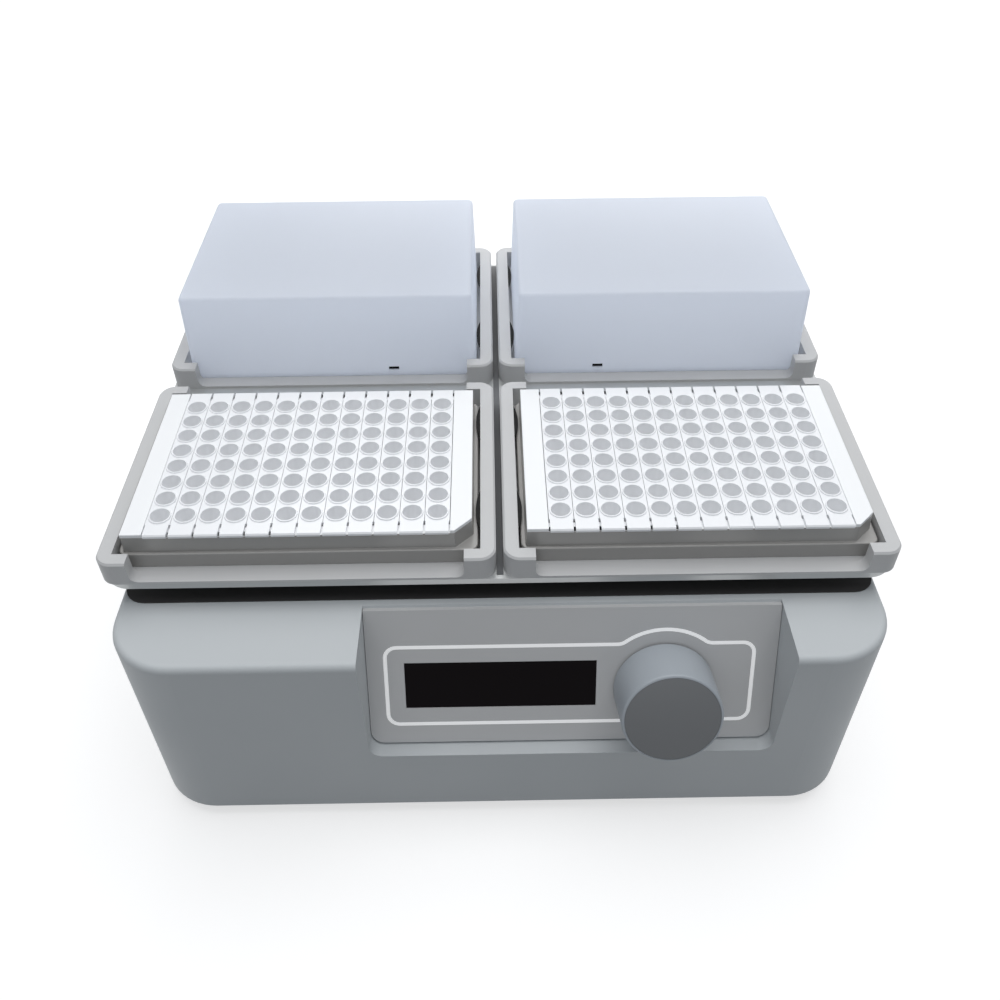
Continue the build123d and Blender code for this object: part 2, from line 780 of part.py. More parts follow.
# Power supply board with transformer, capacitors and heat sink
with BuildPart() as power_supply:
    supply_x = -bench_board_x
    supply_y = platform_y + bench_board_y
    parts_z = bench_board_z + board_t
    block(bench_board_z, supply_x, supply_y, bench_board_w, bench_board_d, board_t)
    block(parts_z, supply_x, supply_y + transformer_d / 2, transformer_w, transformer_d, transformer_h)
    for side in (-1, 1):
        capacitor_x = supply_x + side * 2 * capacitor_r
        disc(parts_z, capacitor_x, supply_y - 3 * capacitor_r, capacitor_r, capacitor_h)
    sink_x = supply_x - bench_board_w / 2 + heat_sink_inset
    block(parts_z, sink_x, supply_y, heat_sink_w, heat_sink_d, heat_sink_h)
power_supply.part.label = "power_supply"
export_step(power_supply.part, "parts/power_supply.step")

# Main board with its chips and a row of connectors
with BuildPart() as main_board:
    board_y = platform_y + bench_board_y
    block(bench_board_z, bench_board_x, board_y, bench_board_w, bench_board_d, board_t)
    with Locations(level(bench_board_z + board_t, bench_board_x, board_y)):
        with GridLocations(2 * chip_w, 2 * chip_w, 2, 2):
            Box(chip_w, chip_w, chip_h, align=stand)
        with Locations((0, bench_board_d / 2 - connector_w)):
            with GridLocations(2 * connector_w, 0, 4, 1):
                Box(connector_w, connector_w, connector_h, align=stand)
main_board.part.label = "main_board"
export_step(main_board.part, "parts/main_board.step")

# Mains inlet socket in the rear wall
with BuildPart() as inlet_socket:
    with BuildSketch(rear):
        with Locations((-inlet_x, inlet_z)):
            RectangleRounded(inlet_w + 2 * inlet_flange, inlet_h + 2 * inlet_flange, inlet_flange)
    extrude(amount=inlet_flange_t)
    with BuildSketch(rear):
        with Locations((-inlet_x, inlet_z)):
            Rectangle(inlet_w - 2 * inlet_fit, inlet_h - 2 * inlet_fit)
    extrude(amount=-inlet_depth)
    with BuildSketch(rear.offset(inlet_flange_t)) as inlet_mouth:
        with Locations((-inlet_x, inlet_z)):
            Rectangle(inlet_cavity_w, inlet_cavity_h)
        chamfer(inlet_mouth.vertices().group_by(Axis.Y)[-1], inlet_chamfer)
    extrude(amount=-inlet_cavity_d, mode=Mode.SUBTRACT)
inlet_socket.part.label = "inlet_socket"
export_step(inlet_socket.part, "parts/inlet_socket.step")

# Contact blades that stand on the floor of the inlet
with BuildPart() as inlet_blades:
    with BuildSketch(rear.offset(inlet_flange_t - inlet_cavity_d)):
        with Locations((-inlet_x, inlet_z - earth_up / 2)):
            with GridLocations(blade_spread, 0, 2, 1):
                Rectangle(blade_w, blade_h)
        with Locations((-inlet_x, inlet_z + earth_up / 2)):
            Rectangle(blade_w, blade_h)
    extrude(amount=blade_l)
inlet_blades.part.label = "inlet_blades"
export_step(inlet_blades.part, "parts/inlet_blades.step")

# Frame of the power switch
with BuildPart() as switch_frame:
    with BuildSketch(rear):
        with Locations((-switch_x, inlet_z)):
            RectangleRounded(switch_w + 2 * switch_flange, switch_h + 2 * switch_flange, switch_flange)
    extrude(amount=inlet_flange_t)
    with BuildSketch(rear):
        with Locations((-switch_x, inlet_z)):
            Rectangle(switch_w - 2 * inlet_fit, switch_h - 2 * inlet_fit)
    extrude(amount=-switch_depth)
    with BuildSketch(rear.offset(inlet_flange_t)):
        with Locations((-switch_x, inlet_z)):
            Rectangle(rocker_w + 2 * rocker_gap, 2 * (rocker_r + rocker_gap))
    extrude(amount=-(inlet_flange_t + rocker_sink + rocker_r + rocker_gap), mode=Mode.SUBTRACT)
    with BuildSketch(rocker_plane):
        Circle(rocker_pin_r + running_gap)
    extrude(amount=switch_w, both=True, mode=Mode.SUBTRACT)
switch_frame.part.label = "switch_frame"
export_step(switch_frame.part, "parts/switch_frame.step")

# Rocker with a shallow V face, tilted to the off side, and its pivot pin
with BuildPart() as power_rocker:
    with BuildSketch(rocker_plane):
        Circle(rocker_r)
        rise = rocker_r * math.tan(math.radians(rocker_tilt))
        with BuildLine():
            Polyline(
                (rocker_face, 0),
                (rocker_face + rise, rocker_r),
                (2 * rocker_r, rocker_r),
                (2 * rocker_r, -rocker_r),
                (rocker_face + rise, -rocker_r),
                close=True,
            )
        make_face(mode=Mode.SUBTRACT)
        with Locations((-rocker_back, 0)):
            Rectangle(rocker_r, 2 * rocker_r, align=(Align.MAX, Align.CENTER), mode=Mode.SUBTRACT)
    extrude(amount=rocker_w / 2, both=True)
    with BuildSketch(rocker_plane):
        Circle(rocker_pin_r)
    extrude(amount=switch_w / 2 - inlet_fit, both=True)
power_rocker.part.label = "power_rocker"
export_step(power_rocker.part, "parts/power_rocker.step")

# Platform plate that carries the four trays
with BuildPart() as platform_plate:
    with BuildSketch(level(platform_z, 0, platform_y)):
        RectangleRounded(platform_w, platform_d, platform_corner_r)
        with PolarLocations(hub_screw_circle, hub_screw_count, start_angle=hub_screw_start):
            Circle(hub_screw_r, mode=Mode.SUBTRACT)
        with GridLocations(2 * tray_x, 2 * tray_y, 2, 2):
            with GridLocations(tray_screw_spacing, 0, 2, 1):
                Circle(tray_screw_r, mode=Mode.SUBTRACT)
    extrude(amount=platform_t)
platform_plate.part.label = "platform_plate"
export_step(platform_plate.part, "parts/platform_plate.step")

# Screws from the platform plate into the hub flange
with BuildPart() as hub_screws:
    with BuildSketch(level(platform_z - hub_flange_t, 0, platform_y)):
        with PolarLocations(hub_screw_circle, hub_screw_count, start_angle=hub_screw_start):
            Circle(hub_screw_r)
    extrude(amount=hub_flange_t + platform_t)
hub_screws.part.label = "hub_screws"
export_step(hub_screws.part, "parts/hub_screws.step")

# Flat heater mats under the platform, one below each tray
with BuildPart() as heater_mats:
    with BuildSketch(level(platform_z, 0, platform_y)):
        with GridLocations(2 * tray_x, 2 * tray_y, 2, 2):
            Rectangle(mat_w, mat_d)
    extrude(amount=-mat_t)
heater_mats.part.label = "heater_mats"
export_step(heater_mats.part, "parts/heater_mats.step")

# Trays with open ends, bevelled rims and pockets for the clips
for name, (x, y) in tray_spots.items():
    inward = math.copysign(1, -x)
    with BuildPart() as tray:
        with BuildSketch(level(tray_z, x, y)):
            RectangleRounded(tray_w, tray_d, tray_corner_r)
        extrude(amount=tray_h)
        chamfer(tray.faces().sort_by(Axis.Z)[-1].edges(), tray_bevel)
        with BuildSketch(level(floor_z, x, y)):
            Rectangle(tray_w - 2 * tray_wall_x, tray_d - 2 * tray_wall_y)
        extrude(amount=tray_h, mode=Mode.SUBTRACT)
        end_face = Plane(origin=(x, y, floor_z), x_dir=(1, 0, 0), z_dir=(0, -1, 0))
        with BuildSketch(end_face) as end_profile:
            Rectangle(end_opening, 2 * tray_h, align=(Align.CENTER, Align.MIN))
            fillet(end_profile.vertices().group_by(Axis.Y)[0], tray_cove_r)
        extrude(amount=tray_d, both=True, mode=Mode.SUBTRACT)
        wall_x = x + inward * (tray_w / 2 - tray_wall_x + clip_pocket / 2)
        with Locations(level(clip_z - clip_gap, wall_x, y)):
            with GridLocations(0, clip_spacing, 1, 2):
                Box(
                    clip_pocket,
                    clip_l + 2 * clip_gap,
                    clip_t + 2 * clip_gap,
                    align=stand,
                    mode=Mode.SUBTRACT,
                )
        with BuildSketch(level(tray_z, x, y)):
            with GridLocations(tray_screw_spacing, 0, 2, 1):
                Circle(tray_screw_r)
        extrude(amount=tray_floor, mode=Mode.SUBTRACT)
    tray.part.label = "tray_" + name
    export_step(tray.part, f"parts/tray_{name}.step")

# Screws from the tray floors into the platform
with BuildPart() as tray_screws:
    with BuildSketch(level(floor_z, 0, platform_y)):
        with GridLocations(2 * tray_x, 2 * tray_y, 2, 2):
            with GridLocations(tray_screw_spacing, 0, 2, 1):
                Circle(tray_screw_r)
    extrude(amount=-tray_screw_l)
tray_screws.part.label = "tray_screws"
export_step(tray_screws.part, "parts/tray_screws.step")


def clip_outline(inward):
    """Plan of one clip, a straight root in the wall and a bulge over the tray."""
    with BuildSketch() as plan:
        with BuildLine():
            Polyline(
                (0, -clip_l / 2),
                (inward * clip_root, -clip_l / 2),
                (inward * clip_root, clip_l / 2),
                (0, clip_l / 2),
            )
            ThreePointArc((0, clip_l / 2), (-inward * clip_bulge, 0), (0, -clip_l / 2))
        make_face()
    return plan.sketch


# Sprung clips, two in each tray, that reach over the flange of a microplate
for name, (x, y) in tray_spots.items():
    inward = math.copysign(1, -x)
    with BuildPart() as plate_clips:
        with BuildSketch(level(clip_z, x + inward * (tray_w / 2 - tray_wall_x), y)):
            with GridLocations(0, clip_spacing, 1, 2):
                add(clip_outline(inward))
        extrude(amount=clip_t)
    plate_clips.part.label = "plate_clips_" + name
    export_step(plate_clips.part, f"parts/plate_clips_{name}.step")

# Microplate frames in the two front trays, hollow from below
for name in ("left", "right"):
    x, tray_centre_y = tray_spots["front_" + name]
    y = tray_centre_y - plate_shift_y
    with BuildPart() as microplate_frame:
        with BuildSketch(level(floor_z, x, y)):
            RectangleRounded(plate_w, plate_d, plate_corner_r)
        extrude(amount=plate_flange_h)
        with BuildSketch(level(floor_z, x, y)) as upper_plan:
            Rectangle(plate_top_w, plate_top_d)
            chamfer(upper_plan.vertices().group_by(Axis.X)[-1].sort_by(Axis.Y)[0], plate_chamfer)
        extrude(amount=plate_h)
        with BuildSketch(level(floor_z, x, y)):
            Rectangle(plate_top_w - 2 * frame_wall, plate_top_d - 2 * frame_wall)
            Rectangle(strip_field + 2 * frame_wall, strip_run + 2 * frame_wall, mode=Mode.SUBTRACT)
        extrude(amount=plate_h - strip_web_t - frame_wall, mode=Mode.SUBTRACT)
        with BuildSketch(level(floor_z, x, y)):
            Rectangle(strip_field, strip_run)
        extrude(amount=plate_h, mode=Mode.SUBTRACT)
        with BuildSketch(level(floor_z + plate_h, x, y)):
            Rectangle(strip_field, plate_top_d)
        extrude(amount=-strip_web_t, mode=Mode.SUBTRACT)
    microplate_frame.part.label = "microplate_frame_" + name
    export_step(microplate_frame.part, f"parts/microplate_frame_{name}.step")

# Well strips that hang in the frames by their end tabs
for name in ("left", "right"):
    x, tray_centre_y = tray_spots["front_" + name]
    y = tray_centre_y - plate_shift_y
    with BuildPart() as well_strips:
        with BuildSketch(level(floor_z + plate_h, x, y)):
            with GridLocations(well_pitch, 0, columns, 1):
                Rectangle(well_pitch - 2 * strip_gap, plate_top_d)
        extrude(amount=-strip_web_t)
        with BuildSketch(level(floor_z + strip_floor_gap, x, y)):
            with GridLocations(well_pitch, 0, columns, 1):
                Rectangle(strip_block_w, strip_run - 2 * strip_gap)
        extrude(amount=plate_h - strip_web_t - strip_floor_gap)
        with BuildSketch(level(floor_z + plate_h, x, y)):
            with GridLocations(well_pitch, well_pitch, columns, rows):
                RegularPolygon(well_r, well_facets)
        extrude(amount=-well_depth, mode=Mode.SUBTRACT)
    well_strips.part.label = "well_strips_" + name
    export_step(well_strips.part, f"parts/well_strips_{name}.step")

# Tall covers in the two rear trays, thin-walled and open below
for name, side in (("left", 1), ("right", -1)):
    x, y = tray_spots["rear_" + name]
    with BuildPart() as cover:
        with BuildSketch(level(floor_z, x, y)):
            RectangleRounded(cover_w, cover_d, cover_corner_r)
        extrude(amount=cover_h, taper=cover_taper)
        fillet(cover.faces().sort_by(Axis.Z)[-1].edges(), cover_edge_r)
        offset(amount=-cover_wall, openings=cover.faces().sort_by(Axis.Z)[0])
        slot_y = y - cover_d / 2
        with Locations(level(floor_z + cover_slot_up, x + side * cover_slot_x, slot_y)):
            Box(cover_slot_w, 4 * cover_wall, cover_slot_h, align=stand, mode=Mode.SUBTRACT)
    cover.part.label = "cover_" + name
    export_step(cover.part, f"parts/cover_{name}.step")
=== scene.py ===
import math

import bmesh
import bpy
from bpy.props import FloatProperty, FloatVectorProperty, IntProperty, PointerProperty
from mathutils import Euler, Matrix, Vector


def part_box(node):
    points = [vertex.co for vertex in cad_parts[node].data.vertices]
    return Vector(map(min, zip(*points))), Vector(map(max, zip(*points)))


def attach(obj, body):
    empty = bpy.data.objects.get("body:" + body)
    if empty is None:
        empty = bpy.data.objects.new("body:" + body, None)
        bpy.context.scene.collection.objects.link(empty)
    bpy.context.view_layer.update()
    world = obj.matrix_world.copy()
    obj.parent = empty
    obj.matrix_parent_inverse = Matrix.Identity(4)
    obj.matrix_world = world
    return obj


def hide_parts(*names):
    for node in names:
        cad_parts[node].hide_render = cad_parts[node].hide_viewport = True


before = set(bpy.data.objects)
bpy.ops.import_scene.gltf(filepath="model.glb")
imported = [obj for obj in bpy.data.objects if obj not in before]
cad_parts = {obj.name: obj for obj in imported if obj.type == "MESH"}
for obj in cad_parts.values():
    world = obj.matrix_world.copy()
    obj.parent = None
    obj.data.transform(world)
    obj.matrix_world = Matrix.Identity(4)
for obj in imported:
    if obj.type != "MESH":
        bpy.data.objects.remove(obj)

# Finishes and fine pieces for a heated orbital microplate shaker.
# Metres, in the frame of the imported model: +Z up, control panel facing -Y.

bl_info = {
    "name": "Microplate shaker",
    "version": (1, 0, 0),
    "blender": (4, 5, 0),
    "location": "View3D > Sidebar > Shaker",
    "description": "Dresses a packed microplate shaker with finishes, fine pieces and a studio",
    "category": "Object",
}

MM = 0.001
WELD = 1e-6  # vertices nearer than this become one
CLOUD_MM = 40  # size of the clouding in colour and gloss
FLOW_MM = 60  # size of the flow marks in thin plastic
WAVE_BAND = 0.314  # a wave texture of this scale has one band to the metre
SHARP = math.radians(35)  # edges above this angle are shaded sharp
ROUNDED = math.radians(40)  # edges above this angle get their rounding
CAMERA_LENS = 35.19  # in mm, on a sensor 36 mm wide
CAMERA_PLACE = Vector((-2.01, -344.62, 246.38)) * MM  # from the platform's middle and the trays' rim
CAMERA_TURN = (47.048, 0.360, -0.873)  # in degrees
# Where each lamp hangs and the point it is aimed at, in metres
OVERHEAD = ((0.1, 0.35, 1.7), (0, 0.05, 0))
IN_FRONT = ((-0.5, -1.6, 0.9), (0, 0, 0.1))
BEHIND = ((0.2, 1.5, 0.5), (0, 0, 0.12))
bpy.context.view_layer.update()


def linear(code):
    """An sRGB hex colour as linear red, green, blue."""
    channels = [int(code[i:i + 2], 16) / 255 for i in (1, 3, 5)]
    return [c / 12.92 if c <= 0.04045 else ((c + 0.055) / 1.055) ** 2.4 for c in channels]


def length(name, text, millimetres):
    """A length property with its default given in millimetres."""
    return FloatProperty(
        name=name, description=text, default=millimetres * MM, unit="LENGTH", precision=5
    )


def count(name, text, number):
    """A whole-number property."""
    return IntProperty(name=name, description=text, default=number)


def strength(name, text, value):
    """A plain number."""
    return FloatProperty(name=name, description=text, default=value)


def power(name, text, watts):
    """A lamp's power."""
    return FloatProperty(name=name, description=text, default=watts, unit="POWER")


def angle(name, text, degrees):
    """An angle property with its default given in degrees."""
    return FloatProperty(
        name=name, description=text, default=math.radians(degrees), subtype="ANGLE"
    )


def colour(name, text, code):
    """A colour property with its default given as an sRGB hex code."""
    return FloatVectorProperty(
        name=name, description=text, default=linear(code), subtype="COLOR", min=0, max=1
    )


class MicroplateSizes(bpy.types.PropertyGroup):
    """Sizes of the strip microplates."""

    pitch: length("Well pitch", "Distance from well to well", 9.0)
    columns: count("Columns", "Strips side by side", 12)
    rows: count("Rows", "Wells along a strip", 8)
    well_sides: count("Well sides", "Sides of a well's circle", 16)
    well_radius: length("Well radius", "Inside of a well, before its taper", 3.45)
    rim_radius: length("Rim radius", "Outside of the raised rim of a well", 4.15)
    rim_height: length("Rim height", "How far the rim stands above the strip", 0.45)
    rim_slope: length("Rim slope", "How far the rim leans in on its outside", 0.15)
    well_flare: length("Well flare", "How much larger the radius is at the mouth", 0.1)
    well_taper: length("Well taper", "How much smaller the radius is at the floor", 0.15)
    well_depth: length("Well depth", "From the mouth to the floor of a well", 10.7)
    strip_width: length("Strip width", "Width of one strip", 8.8)
    tab_width: length("Tab width", "Width of the tab at either end of a strip", 8.2)
    strip_thickness: length("Strip thickness", "Thickness of a strip at its tabs", 1.3)
    tab_proud: length("Tab proud", "How far a tab stands out past the frame", 0.6)
    tab_chamfer: length("Tab chamfer", "Chamfer on the outer edge of a tab", 0.5)
    strip_play: length("Strip play", "Room beside the strips in the frame", 0.2)
    end_play: length("End play", "Room past the ends of the well rows", 0.9)
    top_width: length("Top width", "Width of the frame above its flange", 123.6)
    top_depth: length("Top depth", "Depth of the frame above its flange", 82.0)
    foot_wall: length("Foot wall", "Thickness of the frame's foot", 1.6)
    foot_corner: length("Foot corner", "Corner radius of the foot", 3.2)
    foot_inner: length("Foot inner", "Corner radius inside the foot", 2.0)
    flange_corner: length("Flange corner", "Corner radius of the flange's top", 3.0)
    flange_bevel: length("Flange bevel", "Bevel on the flange's top edge", 0.3)
    flange_height: length("Flange height", "Height of the wider foot of the frame", 6.4)
    wall_lean: length("Wall lean", "How far the upper wall leans in", 0.4)
    top_corner: length("Top corner", "Corner radius of the upper wall", 1.0)
    opening_corner: length("Opening corner", "Corner radius of the opening", 0.5)
    rail_seat: length("Rail seat", "How far the rails sink into the shelf", 0.2)
    corner_cut: length("Corner cut", "Cut on the front right corner", 6.2)
    edge: length("Edge rounding", "Rounding of the frame's edges", 0.35)
    frame_colour: colour("Frame colour", "White polystyrene of the frame", "#F4F5F6")
    # The walls' grey is painted shade for the dark inside seen through the clear plastic
    wall_shade_colour: colour("Wall colour", "Clear polystyrene of the frame's walls", "#9E9C99")
    well_colour: colour("Well colour", "Natural polystyrene of the strips", "#F2F3F5")


class PanelSizes(bpy.types.PropertyGroup):
    """Sizes of the control panel and its print."""

    setback: length("Setback", "Top edge of the panel behind the front of the housing", 25.3)
    ledge: length("Ledge", "Bottom edge of the panel behind the front of the housing", 5.0)
    drop: length("Drop", "Height of the panel", 54.1)
    line: length("Line width", "Width of the printed outline", 1.4)
    film: length("Print thickness", "How far the print stands above the film", 0.04)
    left: length("Outline left", "Left side of the outline", -43.1)
    right: length("Outline right", "Right side of the outline", 93.1)
    top: length("Outline top", "Top of the outline below the panel's edge", 14.8)
    bottom: length("Outline bottom", "Bottom of the outline below the panel's edge", 49.2)
    corner: length("Outline corner", "Corner radius of the outline", 5.0)
    arch: length("Arch radius", "Radius of the outline's arch over the knob", 24.7)
    arch_steps: count("Arch steps", "Steps along the arch", 16)
    arch_foot: length("Arch foot", "Rounding where the arch meets the line", 1.2)
    film_colour: colour("Film colour", "Satin film of the panel", "#C4C4C4")
    print_colour: colour("Print colour", "White print on the film", "#FBFBFA")


class KnobSizes(bpy.types.PropertyGroup):
    """Sizes of the knob."""

    x: length("Across", "Axis of the knob right of the middle", 59.8)
    down: length("Down", "Axis of the knob below the panel's edge", 33.6)
    radius: length("Radius", "Radius at the base", 18.5)
    reach: length("Length", "Length of the knob", 20.35)
    gap: length("Gap", "Gap between the panel and the knob", 0.9)
    edge: length("Edge", "Rounding of the front edge", 1.0)
    draft: angle("Draft", "Taper of the side", 1.2)
    wall: length("Wall", "Thickness of the side", 2.4)
    roof: length("Roof", "Thickness behind the front", 3.0)
    inlay_deep: length("Inlay depth", "Depth of the recess for the insert", 0.4)
    inlay_play: length("Inlay play", "Room round the insert", 0.1)
    inlay_bevel: length("Inlay bevel", "Bevel of the insert's edge", 0.2)
    facets: count("Facets", "Steps of the spin", 96)
    side_colour: colour("Side colour", "Soft-touch side of the knob", "#A2A8AE")
    face_colour: colour("Face colour", "Inlaid face of the knob", "#6E7072")


class CoverSizes(bpy.types.PropertyGroup):
    """Sizes of the tall covers."""

    wall: length("Wall", "Thickness of the wall at its rim", 2.0)
    corner: length("Corner", "Radius of the upright corners", 3.5)
    edge: length("Edge", "Rounding of the top edge", 1.4)
    slot_x: length("Slot across", "Slot from the middle of the cover", 26.5)
    slot_up: length("Slot up", "Slot above the rim", 3.0)
    slot_w: length("Slot width", "Width of the slot", 4.5)
    slot_h: length("Slot height", "Height of the slot", 1.6)
    # The slot's sides and floor are drawn in matt black
    slot_deep: length("Slot depth", "Depth of the slot down to its dark plug", 0.6)
    lip: length("Lip", "Height of the rim's inner side", 1.5)
    draft: angle("Draft", "Taper of the walls", 1.9)


class ShadeStripSizes(bpy.types.PropertyGroup):
    """Sizes of the dark strips of painted shade in the gap under the platform and on the platform
    between the trays.
    """

    # Lining in these texts means the black strip of painted shade under the platform
    inset_x: length("Side inset", "Lining inside the platform's sides", 5.5)
    inset_y: length("End inset", "Lining inside the platform's ends", 1.5)
    forward: length("Forward", "Lining ahead of the platform's middle", 2.0)
    band: length("Band", "Width of the lining", 12.0)
    corner: length("Corner", "Corner radius of the lining", 8.0)
    thickness: length("Thickness", "Thickness of the lining", 0.4)
    soft: length("Soft edge", "Rounding of the lining's edges", 0.1)
    groove_end: length("Groove end", "Strip short of the platform's ends", 2.0)
    groove_play: length("Groove play", "Room between the strip and a tray", 0.05)


class BodyColours(bpy.types.PropertyGroup):
    """Colours of the housing, trays and covers."""

    housing: colour("Housing", "Spark-textured ABS of the housing", "#BCC0C2")
    tray: colour("Tray", "Anodised aluminium of the trays", "#C4C4C4")
    platform: colour("Platform", "Milled aluminium of the platform", "#BDBFBF")
    cover: colour("Cover", "Frosted polypropylene of the covers", "#E9EDF4")
    window: colour("Window", "Tinted window of the display", "#0A0407")


class StudioSizes(bpy.types.PropertyGroup):
    """Sizes of the studio and its light."""

    floor: length("Floor", "Width of the floor", 8000)
    floor_shade: strength("Floor shade", "How pale the floor is under light", 0.5)
    floor_glow: strength("Floor glow", "White added to the seen floor", 0.62)
    key_power: power("Key", "Power of the overhead lamp", 25.0)
    key_size: length("Key size", "Width of the overhead lamp", 2000)
    fill_power: power("Fill", "Power of the front lamp", 2.0)
    rear_power: power("Rear", "Power of the rear lamp", 7.0)
    side_size: length("Side size", "Width of the front and rear lamps", 1200)
    world: strength("World", "Strength of the world on the object", 0.34)
    world_colour: colour("World colour", "Cool light of the room on the object", "#E9F1FA")
    floor_colour: colour("Floor colour", "What the floor sends back to the object", "#8C8C8C")


def add_node(tree, kind, settings=None, links=None):
    """Adds a node, sets its sockets and attributes, and links its inputs."""
    node = tree.nodes.new(kind)
    for key, value in (settings or {}).items():
        if isinstance(key, int) or key in node.inputs:
            node.inputs[key].default_value = value
        else:
            setattr(node, key, value)
    for key, source in (links or {}).items():
        tree.links.new(source, node.inputs[key])
    return node


def new_material(name):
    """An empty material with its output node."""
    material = bpy.data.materials.new(name)
    material.use_nodes = True
    material.node_tree.nodes.clear()
    output = add_node(material.node_tree, "ShaderNodeOutputMaterial")
    return material, material.node_tree, output


def noise(tree, size_mm, detail):
    """A noise of a real size on the object's own coordinates."""
    place = add_node(tree, "ShaderNodeTexCoord").outputs["Object"]
    return add_node(
        tree, "ShaderNodeTexNoise", {"Scale": 1 / (size_mm * MM), "Detail": detail}, {"Vector": place}
    )


def grained(name, tint, grain_mm, depth_mm, roughness, spread=0.06, cloud=0.03, **shader):
    """A surface with an even grain of a real size, and slight clouding of colour and gloss."""
    material, tree, output = new_material(name)
    grain = noise(tree, grain_mm, 2.0)
    clouds = noise(tree, CLOUD_MM, 3.0)
    bump = add_node(
        tree,
        "ShaderNodeBump",
        {"Strength": 0.6, "Distance": depth_mm * MM},
        {"Height": grain.outputs["Fac"]},
    )
    gloss = add_node(
        tree,
        "ShaderNodeMapRange",
        {"From Min": 0.3, "From Max": 0.7, "To Min": roughness - spread, "To Max": roughness + spread},
        {"Value": clouds.outputs["Fac"]},
    )
    dark = [c * (1 - cloud) for c in tint]
    light = [min(1.0, c * (1 + cloud)) for c in tint]
    shade = add_node(tree, "ShaderNodeMix", {"data_type": "RGBA"}, {0: clouds.outputs["Fac"]})
    shade.inputs[6].default_value = (*dark, 1)
    shade.inputs[7].default_value = (*light, 1)
    surface = add_node(
        tree,
        "ShaderNodeBsdfPrincipled",
        shader,
        {
            "Base Color": shade.outputs[2],
            "Roughness": gloss.outputs["Result"],
            "Normal": bump.outputs["Normal"],
        },
    )
    tree.links.new(surface.outputs["BSDF"], output.inputs["Surface"])
    return material


def thin_plastic(name, tint, grain_mm, depth_mm, roughness, ior, through):
    """A thin milky plastic: part of the light is sent back from its skin and the rest comes through."""
    material, tree, output = new_material(name)
    frost = noise(tree, grain_mm, 2.0)
    flow = noise(tree, FLOW_MM, 2.0)
    bump = add_node(
        tree,
        "ShaderNodeBump",
        {"Strength": 0.5, "Distance": depth_mm * MM},
        {"Height": frost.outputs["Fac"]},
    )
    gloss = add_node(
        tree,
        "ShaderNodeMapRange",
        {"To Min": roughness[0], "To Max": roughness[1]},
        {"Value": flow.outputs["Fac"]},
    )
    skin = add_node(
        tree,
        "ShaderNodeBsdfPrincipled",
        {"Base Color": (*tint, 1), "IOR": ior},
        {"Roughness": gloss.outputs["Result"], "Normal": bump.outputs["Normal"]},
    )
    glow = add_node(
        tree, "ShaderNodeBsdfTranslucent", {"Color": (*tint, 1)}, {"Normal": bump.outputs["Normal"]}
    )
    both = add_node(
        tree, "ShaderNodeMixShader", {0: through}, {1: skin.outputs["BSDF"], 2: glow.outputs["BSDF"]}
    )
    tree.links.new(both.outputs["Shader"], output.inputs["Surface"])
    return material


def abs_spark_textured(tint):
    """ABS moulded in a spark-eroded mould: an even matte skin that hides fingerprints."""
    return grained("abs_spark_textured", tint, 0.9, 0.03, 0.52)


def polyester_film_satin(tint):
    """Satin polyester film, printed from behind: flat, fine and a little glossier than the housing."""
    return grained("polyester_film_satin", tint, 0.5, 0.008, 0.4)


def screen_print_white_painted_glow(tint):
    """Screen-printed ink: opaque and dry, with a painted glow that makes the white look fresh."""
    # The emission is a painted glow on the ink, which gives no light of its own
    glow = {"Emission Color": (1, 1, 1, 1), "Emission Strength": 0.22}
    return grained("screen_print_white_painted_glow", tint, 0.3, 0.004, 0.5, cloud=0.01, **glow)


def polycarbonate_tinted(tint):
    """Dark tinted polycarbonate window: smooth, with a sharp gloss over near black."""
    dim = {"Specular IOR Level": 0.05}
    return grained("polycarbonate_tinted", tint, 2.0, 0.001, 0.12, spread=0.02, **dim)


def knob_soft_touch(tint):
    """Soft-touch lacquer on the knob: velvety, so its highlight is wide and low."""
    return grained("knob_soft_touch", tint, 0.6, 0.01, 0.48)


def knob_face_moulded(tint):
    """Moulded insert in the knob's face: darker and flatter than the side."""
    return grained("knob_face_moulded", tint, 0.5, 0.006, 0.55)


def aluminium_blasted(tint):
    """Aluminium, bead blasted and clear anodised: a dull silver with no direction in its grain."""
    dull = {"Specular IOR Level": 0.35}
    return grained("aluminium_blasted_anodised", tint, 0.7, 0.012, 0.45, **dull)


def aluminium_milled(tint):
    """Milled aluminium plate, anodised: fine tool lines 0.8 mm apart that stretch the highlight."""
    material, tree, output = new_material("aluminium_milled_anodised")
    place = add_node(tree, "ShaderNodeTexCoord").outputs["Object"]
    lines = add_node(
        tree,
        "ShaderNodeTexWave",
        {"Scale": WAVE_BAND / (0.8 * MM), "Distortion": 1.5, "Detail": 2.0, "bands_direction": "Y"},
        {"Vector": place},
    )
    bump = add_node(
        tree,
        "ShaderNodeBump",
        {"Strength": 0.35, "Distance": 0.01 * MM},
        {"Height": lines.outputs["Fac"]},
    )
    gloss = add_node(
        tree, "ShaderNodeMapRange", {"To Min": 0.32, "To Max": 0.42}, {"Value": lines.outputs["Fac"]}
    )
    surface = add_node(
        tree,
        "ShaderNodeBsdfPrincipled",
        {"Base Color": (*tint, 1), "Metallic": 0.5},
        {"Roughness": gloss.outputs["Result"], "Normal": bump.outputs["Normal"]},
    )
    tree.links.new(surface.outputs["BSDF"], output.inputs["Surface"])
    return material


def polystyrene_white(tint):
    """White polystyrene of the plate frame: clean and glossy, with soft edges."""
    return grained("polystyrene_white", tint, 3.0, 0.004, 0.3, spread=0.01, cloud=0.002, IOR=1.59)


def polystyrene_natural(tint):
    """Natural polystyrene of the strips: white in its thick web and glossy."""
    return grained("polystyrene_natural", tint, 2.2, 0.03, 0.2, spread=0.02, cloud=0.02, IOR=1.59)


